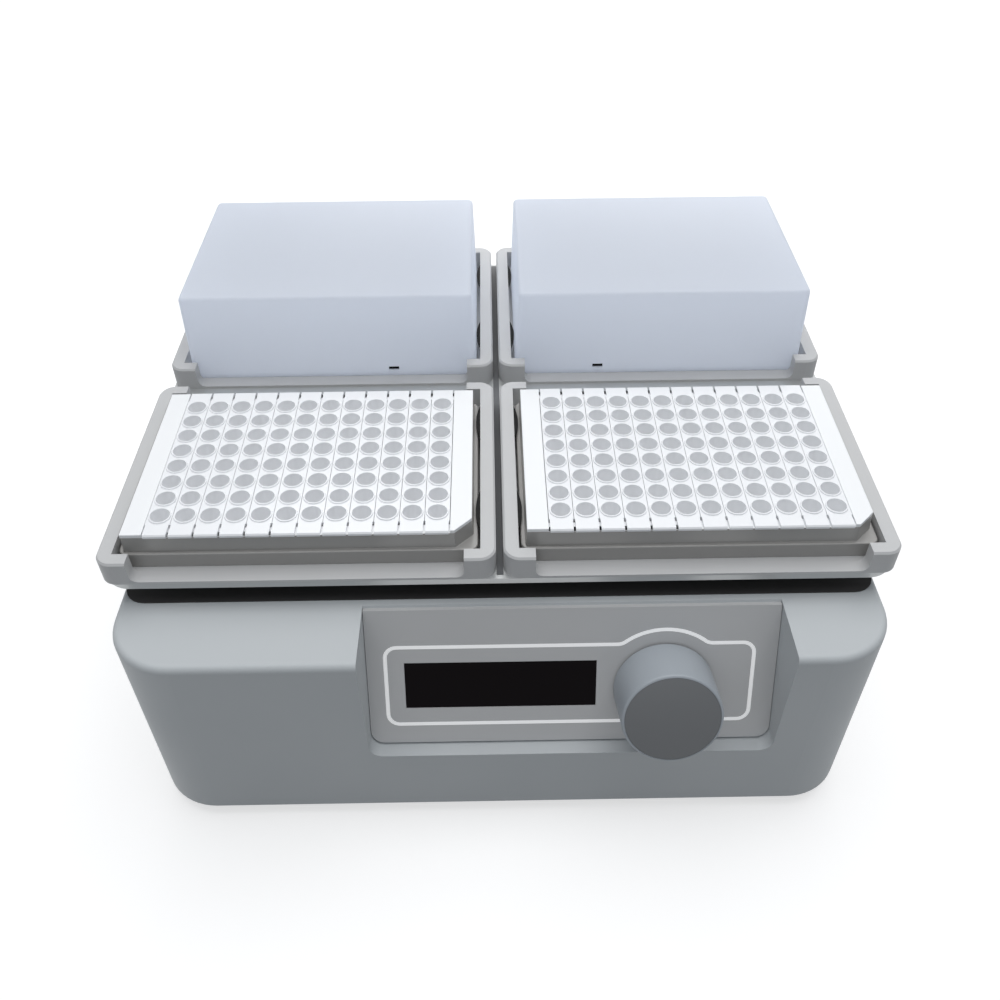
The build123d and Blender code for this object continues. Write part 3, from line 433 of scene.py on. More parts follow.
def polystyrene_well(tint):
    """Thin clear walls of the wells: the light that comes through them is drawn as a faint glow."""
    clear = {"Emission Color": (1, 1, 1, 1), "Emission Strength": 0.05, "IOR": 1.59}
    return grained("polystyrene_well", tint, 2.2, 0.03, 0.16, spread=0.02, cloud=0.02, **clear)


def polystyrene_wall_painted_shade(tint):
    """Clear polystyrene of the frame's walls, drawn opaque and glossy in a grey darker than the rails:
    painted shade for the dark inside that shows through the clear wall.
    """
    clear = {"spread": 0.01, "cloud": 0.005, "IOR": 1.59}
    return grained("polystyrene_wall_painted_shade", tint, 3.0, 0.004, 0.24, **clear)


def polypropylene_frosted(tint):
    """Frosted polypropylene of the covers: milky, with a waxy sheen and light that comes through."""
    return thin_plastic("polypropylene_frosted", tint, 0.8, 0.01, (0.36, 0.5), 1.49, 0.58)


def rubber_moulded():
    """Moulded black rubber: dull and faintly grained."""
    return grained("rubber_moulded", linear("#1B1B1C"), 0.8, 0.03, 0.75)


def nylon_black():
    """Glass-filled black nylon of the clips, socket and switch: dark with a soft shine."""
    return grained("nylon_black", linear("#202122"), 0.5, 0.01, 0.42)


def nylon_matt():
    """Matt black nylon of the plate clips: deep black, with hardly any shine."""
    dull = {"Specular IOR Level": 0.2}
    return grained("nylon_matt", linear("#0B0B0C"), 0.5, 0.02, 0.65, **dull)


def steel_zinc_plated():
    """Zinc-plated steel of the screws: pale, bluish and a little uneven."""
    return grained("steel_zinc_plated", linear("#B9BDC2"), 0.4, 0.01, 0.35, Metallic=1.0)


def steel_ground():
    """Ground steel of the shafts and bearings: bright with a fine grain."""
    return grained("steel_ground", linear("#C3C4C6"), 0.3, 0.006, 0.25, Metallic=1.0)


def brass_turned():
    """Turned brass of the nuts and contacts: warm and bright."""
    return grained("brass_turned", linear("#C9A55C"), 0.3, 0.006, 0.3, Metallic=1.0)


def copper_wound():
    """Enamelled copper wire of the stator: reddish, in turns 1 mm apart."""
    material, tree, output = new_material("copper_wound")
    place = add_node(tree, "ShaderNodeTexCoord").outputs["Object"]
    turns = add_node(
        tree,
        "ShaderNodeTexWave",
        {"Scale": WAVE_BAND / (1.0 * MM), "bands_direction": "Z"},
        {"Vector": place},
    )
    bump = add_node(
        tree,
        "ShaderNodeBump",
        {"Strength": 0.8, "Distance": 0.3 * MM},
        {"Height": turns.outputs["Fac"]},
    )
    surface = add_node(
        tree,
        "ShaderNodeBsdfPrincipled",
        {"Base Color": (*linear("#A4613A"), 1), "Metallic": 0.8, "Roughness": 0.35},
        {"Normal": bump.outputs["Normal"]},
    )
    tree.links.new(surface.outputs["BSDF"], output.inputs["Surface"])
    return material


def powder_coat_dark():
    """Dark powder coat on sheet steel: a fine orange-peel skin."""
    return grained("powder_coat_dark", linear("#5C5E61"), 1.4, 0.04, 0.5)


def circuit_board_green():
    """Green solder mask over a circuit board: smooth, with the copper's pattern faintly under it."""
    return grained("circuit_board_green", linear("#1E5B38"), 2.5, 0.02, 0.35, cloud=0.2)


def silicone_mat():
    """Silicone heater mat: dull brick red with the fabric's grain."""
    return grained("silicone_mat", linear("#9B4A33"), 1.0, 0.05, 0.7)


def unique(items):
    """The items without repeats, in their first order."""
    return list(dict.fromkeys(items))


def verts_of(geometry):
    """The vertices in what an operator gives back."""
    return [g for g in geometry if isinstance(g, bmesh.types.BMVert)]


def faces_of(geometry):
    """The faces in what an operator gives back."""
    return [g for g in geometry if isinstance(g, bmesh.types.BMFace)]


def everything(bm):
    """All that a bmesh holds."""
    return list(bm.verts) + list(bm.edges) + list(bm.faces)


def bevel(bm, geometry, offset, segments=1, affect="EDGES"):
    """A round or flat bevel that keeps each face's material."""
    bmesh.ops.bevel(
        bm, geom=geometry, offset=offset, segments=segments, profile=0.5, affect=affect, material=-1
    )


def rounded_loop(bm, width, depth, height, radius, segments=4, cut=0.0):
    """A level rounded rectangle of edges, with an optional flat cut on its +X -Y corner."""
    before = set(bm.edges)
    verts = bmesh.ops.create_grid(bm, x_segments=1, y_segments=1, size=0.5)["verts"]
    bmesh.ops.scale(bm, vec=(width, depth, 1), verts=verts)
    bmesh.ops.translate(bm, vec=(0, 0, height), verts=verts)
    verts.sort(key=lambda v: v.co.y - v.co.x)
    if cut:
        bevel(bm, verts[:1], cut, affect="VERTICES")
        verts = verts[1:]
    bevel(bm, verts, radius, segments, affect="VERTICES")
    edges = [edge for edge in bm.edges if edge not in before]
    faces = unique(face for edge in edges for face in edge.link_faces)
    bmesh.ops.delete(bm, geom=faces, context="FACES_ONLY")
    return edges


def bridge(bm, loops):
    """Joins each loop of edges to the next, lifted apart meanwhile, because level loops would twist."""
    lift = Vector((0, 0, 100 * MM))
    for low, high in zip(loops, loops[1:]):
        verts = unique(v for e in high for v in e.verts)
        bmesh.ops.translate(bm, vec=lift, verts=verts)
        bmesh.ops.bridge_loops(bm, edges=low + high)
        bmesh.ops.translate(bm, vec=-lift, verts=verts)


def add_box(bm, low, high):
    """A box between two corners."""
    size = Vector(high) - Vector(low)
    middle = (Vector(high) + Vector(low)) / 2
    place = Matrix.Translation(middle) @ Matrix.Diagonal((*size, 1))
    return bmesh.ops.create_cube(bm, size=1, matrix=place)["verts"]


def turn_open_sheets(bm):
    """Turns each sheet that is open below so that its top faces look up."""
    left = set(bm.faces)
    while left:
        island = {left.pop()}
        queue = list(island)
        while queue:
            face = queue.pop()
            near = {f for e in face.edges for f in e.link_faces} & left
            left -= near
            island |= near
            queue += near
        if not any(e.is_boundary for f in island for e in f.edges):
            continue
        top = max(island, key=lambda f: (f.calc_center_median().z + abs(f.normal.z)))
        if top.normal.z < 0:
            bmesh.ops.reverse_faces(bm, faces=list(island))


def make_piece(bm, name, body, materials, place=None, edge=0.0, open_below=False):
    """Turns a bmesh into a finished object that rides on a body."""
    bmesh.ops.remove_doubles(bm, verts=bm.verts, dist=WELD)
    bmesh.ops.recalc_face_normals(bm, faces=bm.faces)
    if open_below:
        turn_open_sheets(bm)
    if place:
        bmesh.ops.transform(bm, matrix=place, verts=bm.verts)
    mesh = bpy.data.meshes.new(name)
    bm.to_mesh(mesh)
    bm.free()
    for material in materials:
        mesh.materials.append(material)
    mesh.polygons.foreach_set("use_smooth", [True] * len(mesh.polygons))
    mesh.set_sharp_from_angle(angle=SHARP)
    piece = bpy.data.objects.new(name, mesh)
    bpy.context.scene.collection.objects.link(piece)
    if edge:
        rounding = piece.modifiers.new("edge_rounding", "BEVEL")
        rounding.width = edge
        rounding.segments = 2
        rounding.limit_method = "ANGLE"
        rounding.angle_limit = ROUNDED
        rounding.harden_normals = True
    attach(piece, body)
    return piece


def node_middle(node):
    """The middle of a CAD node in plan, at its lowest height."""
    low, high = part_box(node)
    return Vector(((low.x + high.x) / 2, (low.y + high.y) / 2, low.z))


def panel_matrix(sizes):
    """From a drawing to the panel's top edge, at its middle: X right, Y up the slope, Z outward."""
    low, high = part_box("housing_shell")
    tilt = math.atan((sizes.setback - sizes.ledge) / sizes.drop)
    turn = Matrix.Rotation(math.pi / 2 - tilt, 4, "X")
    return Matrix.Translation((0, low.y + sizes.setback, high.z)) @ turn


class SHAKER_OT_finishes(bpy.types.Operator):
    """Gives each CAD node the finish of the real piece"""

    bl_idname = "shaker.finishes"
    bl_label = "Finishes"

    def execute(self, context):
        colours = context.scene.shaker_colours
        panel = context.scene.shaker_panel
        plate = context.scene.shaker_plate
        knob = context.scene.shaker_knob
        zinc = steel_zinc_plated()
        steel = steel_ground()
        brass = brass_turned()
        nylon = nylon_black()
        rubber = rubber_moulded()
        coat = powder_coat_dark()
        board = circuit_board_green()
        tray = aluminium_blasted(colours.tray)
        milled = aluminium_milled(colours.platform)
        clip = nylon_matt()
        frosted = polypropylene_frosted(colours.cover)
        finishes = {
            "housing_shell": abs_spark_textured(colours.housing),
            "base_pan": coat,
            "rubber_feet": rubber,
            "base_screws": zinc,
            "fascia_panel": polyester_film_satin(panel.film_colour),
            "display_window": polycarbonate_tinted(colours.window),
            "display_module": nylon,
            "control_board": board,
            "board_posts": brass,
            "encoder_body": nylon,
            "encoder_nut": brass,
            "switch_plunger": nylon,
            "encoder_shaft": steel,
            "knob": knob_soft_touch(knob.side_colour),
            "drive_deck": milled,
            "deck_pillars": steel,
            "deck_screws": zinc,
            "motor_can": coat,
            "motor_stator": copper_wound(),
            "motor_rotor": steel,
            "eccentric_crank": steel,
            "main_bearing": steel,
            "counterweight": brass,
            "platform_hub": milled,
            "hub_bearing": steel,
            "idler_bearings": brass,
            "idler_cups": milled,
            "power_supply": board,
            "main_board": board,
            "board_standoffs": brass,
            "speed_sensor": nylon,
            "inlet_socket": nylon,
            "inlet_blades": brass,
            "switch_frame": nylon,
            "power_rocker": nylon,
            "platform_plate": milled,
            "tray_screws": zinc,
            "hub_screws": zinc,
            "heater_mats": silicone_mat(),
        }
        for side in ("left", "right", "front", "rear"):
            finishes["idler_crank_" + side] = steel
        for side in ("left", "right"):
            finishes["cover_" + side] = frosted
            for end in ("front", "rear"):
                finishes[f"tray_{end}_{side}"] = tray
                finishes[f"plate_clips_{end}_{side}"] = clip
        # The operators that make the plates pick these up by name
        polystyrene_white(plate.frame_colour)
        polystyrene_natural(plate.well_colour)
        polystyrene_well(plate.well_colour)
        polystyrene_wall_painted_shade(plate.wall_shade_colour)
        for name, material in finishes.items():
            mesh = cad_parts[name].data
            mesh.materials.clear()
            mesh.materials.append(material)
        return {"FINISHED"}


class SHAKER_OT_microplates(bpy.types.Operator):
    """Makes the frame and the well strips of the two microplates"""

    bl_idname = "shaker.microplates"
    bl_label = "Microplates"

    def frame_piece(self, sizes, side):
        """The frame: a flange, a clear wall with one cut corner, and white rails beside the opening; the
        wall and flange are drawn in a grey of painted shade.
        """
        low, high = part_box("microplate_frame_" + side)
        width, depth, height = high - low
        field = sizes.pitch * sizes.columns + sizes.strip_play
        run = sizes.pitch * sizes.rows + sizes.end_play
        shelf = height - sizes.strip_thickness
        cut = sizes.corner_cut
        flange = sizes.flange_height
        slim = 2 * sizes.foot_wall
        flat = 2 * sizes.flange_bevel
        lean = 2 * sizes.wall_lean
        top_w, top_d = sizes.top_width, sizes.top_depth
        foot, top = sizes.foot_corner, sizes.top_corner
        bm = bmesh.new()
        loops = [
            rounded_loop(bm, field, run, 0, sizes.opening_corner, 2),
            rounded_loop(bm, width - slim, depth - slim, 0, sizes.foot_inner),
            rounded_loop(bm, width, depth, 0, foot),
            rounded_loop(bm, width, depth, flange - sizes.flange_bevel, foot),
            rounded_loop(bm, width - flat, depth - flat, flange, sizes.flange_corner),
            rounded_loop(bm, top_w + lean, top_d + lean, flange, top, cut=cut),
            rounded_loop(bm, top_w, top_d, shelf, top, cut=cut),
            rounded_loop(bm, field, run, shelf, sizes.opening_corner, 2),
        ]
        bridge(bm, loops + loops[:1])
        # Faces below the shelf take the grey wall material, painted shade for the clear wall's dark
        # inside
        for face in bm.faces:
            face.material_index = int(face.calc_center_median().z < shelf - 10 * WELD)
        for turn in (-1, 1):
            seat = shelf - sizes.rail_seat
            rail = add_box(bm, (field / 2, -top_d / 2, seat), (top_w / 2, top_d / 2, height))
            if turn < 0:
                bmesh.ops.scale(bm, vec=(-1, 1, 1), verts=rail)
            else:
                edges = unique(e for v in rail for e in v.link_edges)
                outer = {v for v in rail if v.co.x > field / 2 + MM and v.co.y < 0}
                bevel(bm, [e for e in edges if outer.issuperset(e.verts)], cut)
        piece = make_piece(
            bm,
            "plate_frame_" + side,
            "microplate_" + side,
            [bpy.data.materials["polystyrene_white"], bpy.data.materials["polystyrene_wall_painted_shade"]],
            Matrix.Translation(node_middle("microplate_frame_" + side)),
            sizes.edge,
        )
        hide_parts("microplate_frame_" + side)

    def well(self, bm, sizes, top):
        """One cell of a strip: a square of web, a raised rim and the round well down to its floor."""
        turn = Matrix.Translation((0, 0, top))
        sides = sizes.well_sides
        border = bmesh.ops.create_circle(bm, segments=sides, radius=1, matrix=turn)["verts"]
        for v in border:
            v.co.xy /= max(abs(v.co.x), abs(v.co.y))
        bmesh.ops.scale(bm, vec=(sizes.strip_width / 2, sizes.pitch / 2, 1), verts=border)
        radius = sizes.rim_radius
        ring = bmesh.ops.create_circle(bm, segments=sides, radius=radius, matrix=turn)["verts"]
        edges = unique(e for v in ring for e in v.link_edges)
        bmesh.ops.bridge_loops(bm, edges=edges + unique(e for v in border for e in v.link_edges))
        stations = [
            (radius - sizes.rim_slope, sizes.rim_height),
            (sizes.well_radius + sizes.well_flare, sizes.rim_height),
            (sizes.well_radius - sizes.well_taper, -sizes.well_depth),
        ]
        for inner, rise in stations:
            grown = bmesh.ops.extrude_edge_only(bm, edges=edges)["geom"]
            walls, verts = faces_of(grown), verts_of(grown)
            edges = [e for e in bm.edges if e.verts[0] in verts and e.verts[1] in verts]
            bmesh.ops.scale(bm, vec=(inner / radius, inner / radius, 1), verts=verts)
            for v in verts:
                v.co.z = top + rise
            radius = inner
        floor = bmesh.ops.contextual_create(bm, geom=edges)["faces"]
        for face in walls + floor:
            face.material_index = 1

    def strips_piece(self, sizes, side):
        """The strips, side by side, each with its wells and a tab at either end."""
        low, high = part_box("well_strips_" + side)
        top = high.z - low.z
        bm = bmesh.new()
        self.well(bm, sizes, top)
        bmesh.ops.translate(bm, vec=(0, -sizes.pitch * (sizes.rows - 1) / 2, 0), verts=bm.verts)
        cell = everything(bm)
        for row in range(1, sizes.rows):
            copy = bmesh.ops.duplicate(bm, geom=cell)["geom"]
            bmesh.ops.translate(bm, vec=(0, row * sizes.pitch, 0), verts=verts_of(copy))
        bmesh.ops.remove_doubles(bm, verts=bm.verts, dist=10 * WELD)
        border = [e for e in bm.edges if e.is_boundary]
        skirt = bmesh.ops.extrude_edge_only(bm, edges=border)["geom"]
        bmesh.ops.translate(bm, vec=(0, 0, -sizes.strip_thickness), verts=verts_of(skirt))
        for end in (-1, 1):
            inner = end * sizes.pitch * sizes.rows / 2
            outer = end * (sizes.top_depth / 2 + sizes.tab_proud)
            tab = add_box(
                bm,
                (-sizes.tab_width / 2, min(inner, outer), top - sizes.strip_thickness),
                (sizes.tab_width / 2, max(inner, outer), top),
            )
            edges = unique(e for v in tab for e in v.link_edges)
            lip = {v for v in tab if v.co.z > top - WELD and abs(v.co.y) > abs(inner) + MM}
            bevel(bm, [e for e in edges if lip.issuperset(e.verts)], sizes.tab_chamfer)
        strip = everything(bm)
        first = -sizes.pitch * (sizes.columns - 1) / 2
        for column in range(1, sizes.columns):
            copy = bmesh.ops.duplicate(bm, geom=strip)["geom"]
            bmesh.ops.translate(bm, vec=(column * sizes.pitch, 0, 0), verts=verts_of(copy))
        bmesh.ops.translate(bm, vec=(first, 0, 0), verts=bm.verts)
        piece = make_piece(
            bm,
            "plate_strips_" + side,
            "microplate_" + side,
            [bpy.data.materials["polystyrene_natural"], bpy.data.materials["polystyrene_well"]],
            Matrix.Translation(node_middle("well_strips_" + side)),
            open_below=True,
        )
        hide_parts("well_strips_" + side)

    def execute(self, context):
        sizes = context.scene.shaker_plate
        for side in ("left", "right"):
            self.frame_piece(sizes, side)
            self.strips_piece(sizes, side)
        return {"FINISHED"}


class SHAKER_OT_covers(bpy.types.Operator):
    """Makes the two thin frosted covers, open below"""

    bl_idname = "shaker.covers"
    bl_label = "Covers"

    def cover(self, sizes, side, slot_side):
        """One cover: a tapered wall, a soft top edge, a rim below and a shallow slot in its front with a
        matt black floor.
        """
        low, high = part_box("cover_" + side)
        width, depth, height = high - low
        inside = (width - 2 * sizes.wall, depth - 2 * sizes.wall)
        inner_corner = sizes.corner - sizes.wall
        bm = bmesh.new()
        loops = [
            rounded_loop(bm, *inside, sizes.lip, inner_corner),
            rounded_loop(bm, *inside, 0, inner_corner),
            rounded_loop(bm, width, depth, 0, sizes.corner),
        ]
        for degrees in (0, 30, 60, 90):
            turn = math.radians(degrees)
            rise = height - sizes.edge * (1 - math.sin(turn))
            inset = rise * math.tan(sizes.draft) + sizes.edge * (1 - math.cos(turn))
            across, along = width - 2 * inset, depth - 2 * inset
            loops.append(rounded_loop(bm, across, along, rise, sizes.corner - inset))
        bridge(bm, loops)
        bmesh.ops.contextual_create(bm, geom=loops[-1])
        # The slot is cut out of the largest face in front by four planes, then pressed in
        in_front = [f for f in bm.faces if f.calc_center_median().y < MM - depth / 2]
        panes = [max(in_front, key=lambda f: f.calc_area())]
        aim = Vector((slot_side * sizes.slot_x, sizes.slot_up + sizes.slot_h / 2))
        cuts = [
            ((aim.x - sizes.slot_w / 2, 0, 0), (1, 0, 0)),
            ((aim.x + sizes.slot_w / 2, 0, 0), (1, 0, 0)),
            ((0, 0, sizes.slot_up), (0, 0, 1)),
            ((0, 0, sizes.slot_up + sizes.slot_h), (0, 0, 1)),
        ]
        for point, normal in cuts:
            edges = [e for f in panes for e in f.edges]
            around = unique(panes + edges + [v for e in edges for v in e.verts])
            cut = bmesh.ops.bisect_plane(bm, geom=around, plane_co=point, plane_no=normal)
            panes = faces_of(cut["geom"])
        slot = min(panes, key=lambda f: (f.calc_center_median().xz - aim).length)
        pressed = bmesh.ops.extrude_face_region(bm, geom=[slot])["geom"]
        bmesh.ops.translate(bm, vec=(0, sizes.slot_deep, 0), verts=verts_of(pressed))
        # The pressed faces of the slot take the matt black material
        for face in faces_of(pressed):
            face.material_index = 1
        if slot.is_valid:
            bmesh.ops.delete(bm, geom=[slot], context="FACES_ONLY")
        piece = make_piece(
            bm,
            "frosted_cover_" + side,
            "cover_" + side,
            [bpy.data.materials["polypropylene_frosted"], bpy.data.materials["nylon_matt"]],
            Matrix.Translation(node_middle("cover_" + side)),
        )
        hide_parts("cover_" + side)

    def execute(self, context):
        sizes = context.scene.shaker_cover
        self.cover(sizes, "left", 1)
        self.cover(sizes, "right", -1)
        return {"FINISHED"}


class SHAKER_OT_panel_print(bpy.types.Operator):
    """Prints the outline round the display and the knob on the panel"""

    bl_idname = "shaker.panel_print"
    bl_label = "Panel print"

    def execute(self, context):
        sizes = context.scene.shaker_panel
        knob = context.scene.shaker_knob
        reach = math.sqrt(sizes.arch ** 2 - (knob.down - sizes.top) ** 2)
        opening = math.asin(reach / sizes.arch)
        bm = bmesh.new()
        outline = [
            bm.verts.new((sizes.left, -sizes.top, 0)),
            bm.verts.new((sizes.left, -sizes.bottom, 0)),
            bm.verts.new((sizes.right, -sizes.bottom, 0)),
            bm.verts.new((sizes.right, -sizes.top, 0)),
        ]
        for step in range(sizes.arch_steps + 1):
            turn = opening * (1 - 2 * step / sizes.arch_steps)
            x = knob.x + sizes.arch * math.sin(turn)
            y = knob.down - sizes.arch * math.cos(turn)
            outline.append(bm.verts.new((x, -y, 0)))
        bm.faces.new(outline)
        bevel(bm, outline[:4], sizes.corner, segments=8, affect="VERTICES")
        bevel(bm, [outline[4], outline[-1]], sizes.arch_foot, segments=4, affect="VERTICES")
        bmesh.ops.inset_region(
            bm, faces=list(bm.faces), thickness=sizes.line, use_boundary=True, use_even_offset=True
        )
        middle = max(bm.faces, key=lambda face: face.calc_area())
        bmesh.ops.delete(bm, geom=[middle], context="FACES_ONLY")
        raised = bmesh.ops.extrude_face_region(bm, geom=list(bm.faces))["geom"]
        bmesh.ops.translate(bm, vec=(0, 0, sizes.film), verts=verts_of(raised))
        # The print's material carries a painted glow
        ink = screen_print_white_painted_glow(sizes.print_colour)
        make_piece(bm, "panel_outline", "base", [ink], panel_matrix(sizes))
        return {"FINISHED"}


class SHAKER_OT_painted_shade_strips(bpy.types.Operator):
    """Lays a black strip of painted shade in the gap under the platform, and a dark strip of painted
    shade in the groove between the trays
    """

    bl_idname = "shaker.linings"
    bl_label = "Painted_shade_strips"

    def execute(self, context):
        sizes = context.scene.shaker_lining
        low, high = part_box("platform_plate")
        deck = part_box("housing_shell")[1].z
        wide = (high.x - low.x - 2 * sizes.inset_x, high.y - low.y - 2 * sizes.inset_y)
        hollow = (wide[0] - 2 * sizes.band, wide[1] - 2 * sizes.band)
        bm = bmesh.new()
        ring = [(wide, 0), (wide, sizes.thickness), (hollow, sizes.thickness), (hollow, 0)]
        loops = [rounded_loop(bm, *size, height, sizes.corner, 6) for size, height in ring]
        bridge(bm, loops + loops[:1])
        middle = (low + high) / 2
        place = Matrix.Translation((middle.x, middle.y - sizes.forward, deck))
        rubber = bpy.data.materials["rubber_moulded"]
        # A black sheet on the housing's top, painted shade for the gap under the platform
        make_piece(bm, "gap_painted_shade", "base", [rubber], place, sizes.soft)
        groove = bmesh.new()
        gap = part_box("tray_front_right")[0].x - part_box("tray_front_left")[1].x
        half = gap / 2 - sizes.groove_play
        first, last = low.y + sizes.groove_end, high.y - sizes.groove_end
        add_box(groove, (-half, first, high.z), (half, last, high.z + sizes.thickness))
        coat = bpy.data.materials["powder_coat_dark"]
        # A dark strip on the platform, painted shade for the groove between the trays
        make_piece(groove, "groove_painted_shade", "platform", [coat], None, sizes.soft)
        return {"FINISHED"}


class SHAKER_OT_knob(bpy.types.Operator):
    """Turns the knob with its rounded edge and the insert in its face"""

    bl_idname = "shaker.knob"
    bl_label = "Knob"

    def spun(self, profile, facets):
        """A profile of radius and height, spun round the Z axis."""
        bm = bmesh.new()
        verts = [bm.verts.new((r, 0, z)) for r, z in profile]
        edges = [bm.edges.new(pair) for pair in zip(verts, verts[1:])]
        bmesh.ops.spin(
            bm,
            geom=verts + edges,
            axis=(0, 0, 1),
            cent=(0, 0, 0),
            angle=2 * math.pi,
            steps=facets,
            use_merge=True,
        )
        return bm

    def execute(self, context):
        sizes = context.scene.shaker_knob
        on_panel = Matrix.Translation((sizes.x, -sizes.down, sizes.gap))
        place = panel_matrix(context.scene.shaker_panel) @ on_panel
        reach, edge, play = sizes.reach, sizes.edge, sizes.inlay_play
        top_r = sizes.radius - reach * math.tan(sizes.draft)
        bore = sizes.radius - sizes.wall
        roof = reach - sizes.roof
        inlay = top_r - edge
        seat = reach - sizes.inlay_deep
        profile = [(0, roof), (bore, roof), (bore, 0), (sizes.radius, 0)]
        for degrees in range(0, 91, 15):
            turn = math.radians(degrees)
            profile.append((top_r - edge * (1 - math.cos(turn)), reach - edge * (1 - math.sin(turn))))
        side = self.spun(profile + [(inlay, reach), (inlay, seat), (0, seat)], sizes.facets)
        lacquer = bpy.data.materials["knob_soft_touch"]
        piece = make_piece(side, "knob_body", "knob", [lacquer], place)
        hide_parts("knob")
        rim = inlay - play
        flat = rim - sizes.inlay_bevel
        insert = [(0, seat), (rim, seat), (rim, reach - play), (flat, reach), (0, reach)]
        face = self.spun(insert, sizes.facets)
        moulded = knob_face_moulded(sizes.face_colour)
        make_piece(face, "knob_face", "knob", [moulded], place)
        return {"FINISHED"}


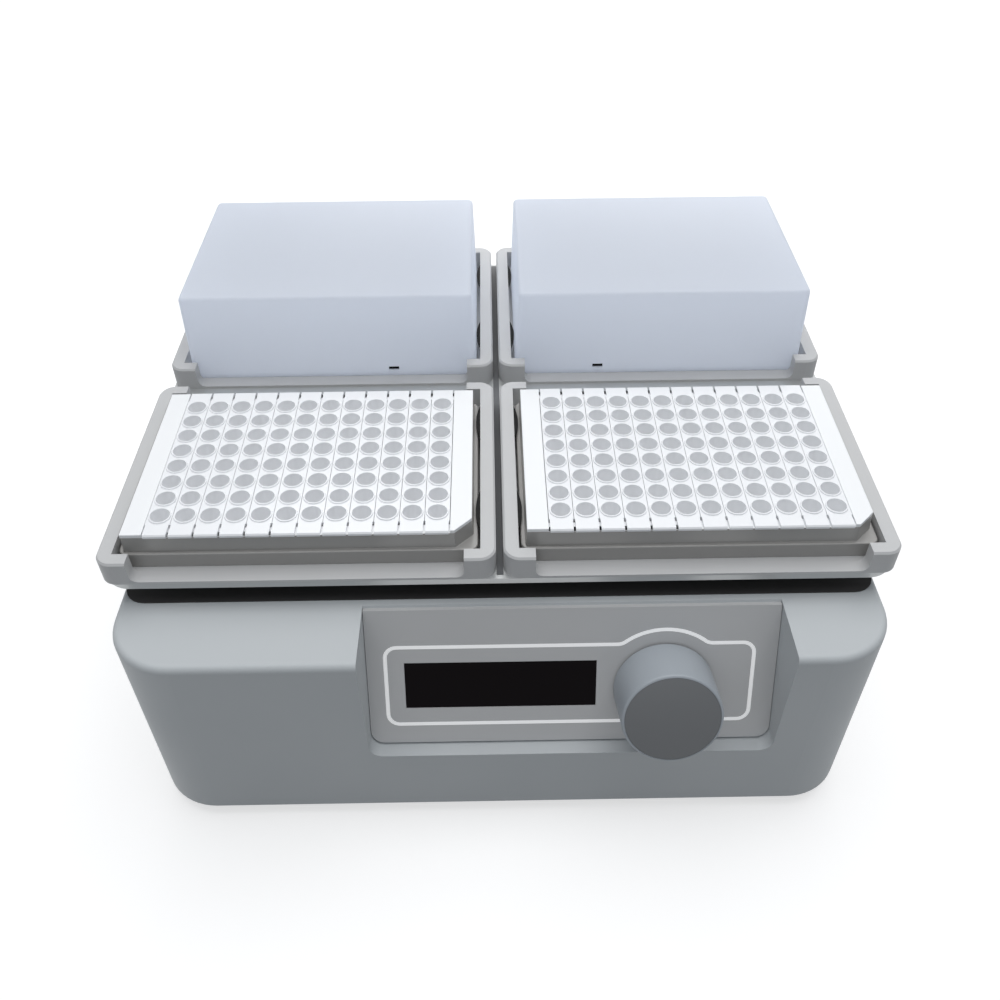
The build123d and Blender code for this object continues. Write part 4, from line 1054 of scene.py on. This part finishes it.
class SHAKER_OT_stage(bpy.types.Operator):
    """Sets the floor, the lamps, the world and the camera"""

    bl_idname = "shaker.stage"
    bl_label = "Stage"

    def backdrop_factor(self, tree):
        """1 where the ray comes from the camera, a gloss or a clear surface, else 0."""
        path = add_node(tree, "ShaderNodeLightPath")
        seen = add_node(
            tree,
            "ShaderNodeMath",
            {"operation": "MAXIMUM"},
            {0: path.outputs["Is Camera Ray"], 1: path.outputs["Is Glossy Ray"]},
        )
        clear = add_node(
            tree,
            "ShaderNodeMath",
            {"operation": "MAXIMUM"},
            {0: seen.outputs["Value"], 1: path.outputs["Is Transmission Ray"]},
        )
        return clear.outputs["Value"]

    def floor(self, sizes):
        """A plain pale floor that shows white with the object's shadow, and sends back a softer grey."""
        material, tree, output = new_material("studio_floor")
        lit = add_node(tree, "ShaderNodeBsdfDiffuse", {"Color": (*[sizes.floor_shade] * 3, 1)})
        glow = {"Color": (1, 1, 1, 1), "Strength": sizes.floor_glow}
        white = add_node(tree, "ShaderNodeEmission", glow)
        shown = add_node(
            tree, "ShaderNodeAddShader", None, {0: lit.outputs["BSDF"], 1: white.outputs["Emission"]}
        )
        back = add_node(tree, "ShaderNodeBsdfDiffuse", {"Color": (*sizes.floor_colour, 1)})
        factor = self.backdrop_factor(tree)
        both = add_node(
            tree,
            "ShaderNodeMixShader",
            None,
            {0: factor, 1: back.outputs["BSDF"], 2: shown.outputs["Shader"]},
        )
        tree.links.new(both.outputs["Shader"], output.inputs["Surface"])
        bm = bmesh.new()
        bmesh.ops.create_grid(bm, x_segments=1, y_segments=1, size=sizes.floor / 2)
        mesh = bpy.data.meshes.new("studio_floor")
        bm.to_mesh(mesh)
        bm.free()
        mesh.materials.append(material)
        plane = bpy.data.objects.new("studio_floor", mesh)
        bpy.context.scene.collection.objects.link(plane)

    def world(self, scene, sizes):
        """White to the camera, and an even cool light on the object."""
        world = bpy.data.worlds.new("studio_world")
        world.use_nodes = True
        tree = world.node_tree
        tree.nodes.clear()
        output = add_node(tree, "ShaderNodeOutputWorld")
        room = {"Color": (*sizes.world_colour, 1), "Strength": sizes.world}
        light = add_node(tree, "ShaderNodeBackground", room)
        white = add_node(tree, "ShaderNodeBackground", {"Color": (1, 1, 1, 1), "Strength": 1.0})
        factor = self.backdrop_factor(tree)
        both = add_node(
            tree,
            "ShaderNodeMixShader",
            None,
            {0: factor, 1: light.outputs["Background"], 2: white.outputs["Background"]},
        )
        tree.links.new(both.outputs["Shader"], output.inputs["Surface"])
        scene.world = world

    def lamp(self, name, watts, size, place, target):
        """A square area lamp that points at a target."""
        light = bpy.data.lights.new(name, "AREA")
        light.energy = watts
        light.size = size
        lamp = bpy.data.objects.new(name, light)
        lamp.location = place
        lamp.rotation_euler = (Vector(target) - Vector(place)).to_track_quat("-Z", "Y").to_euler()
        bpy.context.scene.collection.objects.link(lamp)

    def execute(self, context):
        scene = context.scene
        sizes = scene.shaker_studio
        self.floor(sizes)
        self.world(scene, sizes)
        self.lamp("overhead_softbox", sizes.key_power, sizes.key_size, *OVERHEAD)
        self.lamp("front_fill", sizes.fill_power, sizes.side_size, *IN_FRONT)
        self.lamp("rear_light", sizes.rear_power, sizes.side_size, *BEHIND)
        # The camera stands where the photograph's perspective puts it, above and in front of the trays
        lens = bpy.data.cameras.new("photo_camera")
        lens.sensor_width = 36
        lens.lens = CAMERA_LENS
        lens.clip_start = 0.01
        middle = node_middle("platform_plate")
        middle.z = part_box("tray_front_left")[1].z
        camera = bpy.data.objects.new("photo_camera", lens)
        camera.location = middle + CAMERA_PLACE
        camera.rotation_euler = Euler([math.radians(a) for a in CAMERA_TURN])
        scene.collection.objects.link(camera)
        scene.camera = camera
        scene.view_settings.view_transform = "Standard"
        return {"FINISHED"}


class SHAKER_PT_panel(bpy.types.Panel):
    """Lists the steps that dress the shaker"""

    bl_idname = "SHAKER_PT_panel"
    bl_label = "Microplate shaker"
    bl_space_type = "VIEW_3D"
    bl_region_type = "UI"
    bl_category = "Shaker"

    def draw(self, context):
        for operator in OPERATORS:
            self.layout.operator(operator.bl_idname)


GROUPS = {
    "shaker_plate": MicroplateSizes,
    "shaker_panel": PanelSizes,
    "shaker_knob": KnobSizes,
    "shaker_cover": CoverSizes,
    "shaker_lining": ShadeStripSizes,
    "shaker_colours": BodyColours,
    "shaker_studio": StudioSizes,
}
OPERATORS = [
    SHAKER_OT_stage,
    SHAKER_OT_finishes,
    SHAKER_OT_microplates,
    SHAKER_OT_covers,
    SHAKER_OT_panel_print,
    SHAKER_OT_knob,
    SHAKER_OT_painted_shade_strips,
]
CLASSES = [*GROUPS.values(), *OPERATORS, SHAKER_PT_panel]


def register():
    for cls in CLASSES:
        bpy.utils.register_class(cls)
    for name, group in GROUPS.items():
        setattr(bpy.types.Scene, name, PointerProperty(type=group))


def unregister():
    for name in GROUPS:
        delattr(bpy.types.Scene, name)
    for cls in reversed(CLASSES):
        bpy.utils.unregister_class(cls)


def main():
    register()
    bpy.ops.shaker.stage()
    bpy.ops.shaker.finishes()
    bpy.ops.shaker.microplates()
    bpy.ops.shaker.covers()
    bpy.ops.shaker.panel_print()
    bpy.ops.shaker.knob()
    bpy.ops.shaker.linings()


if __name__ == "__main__":
    main()
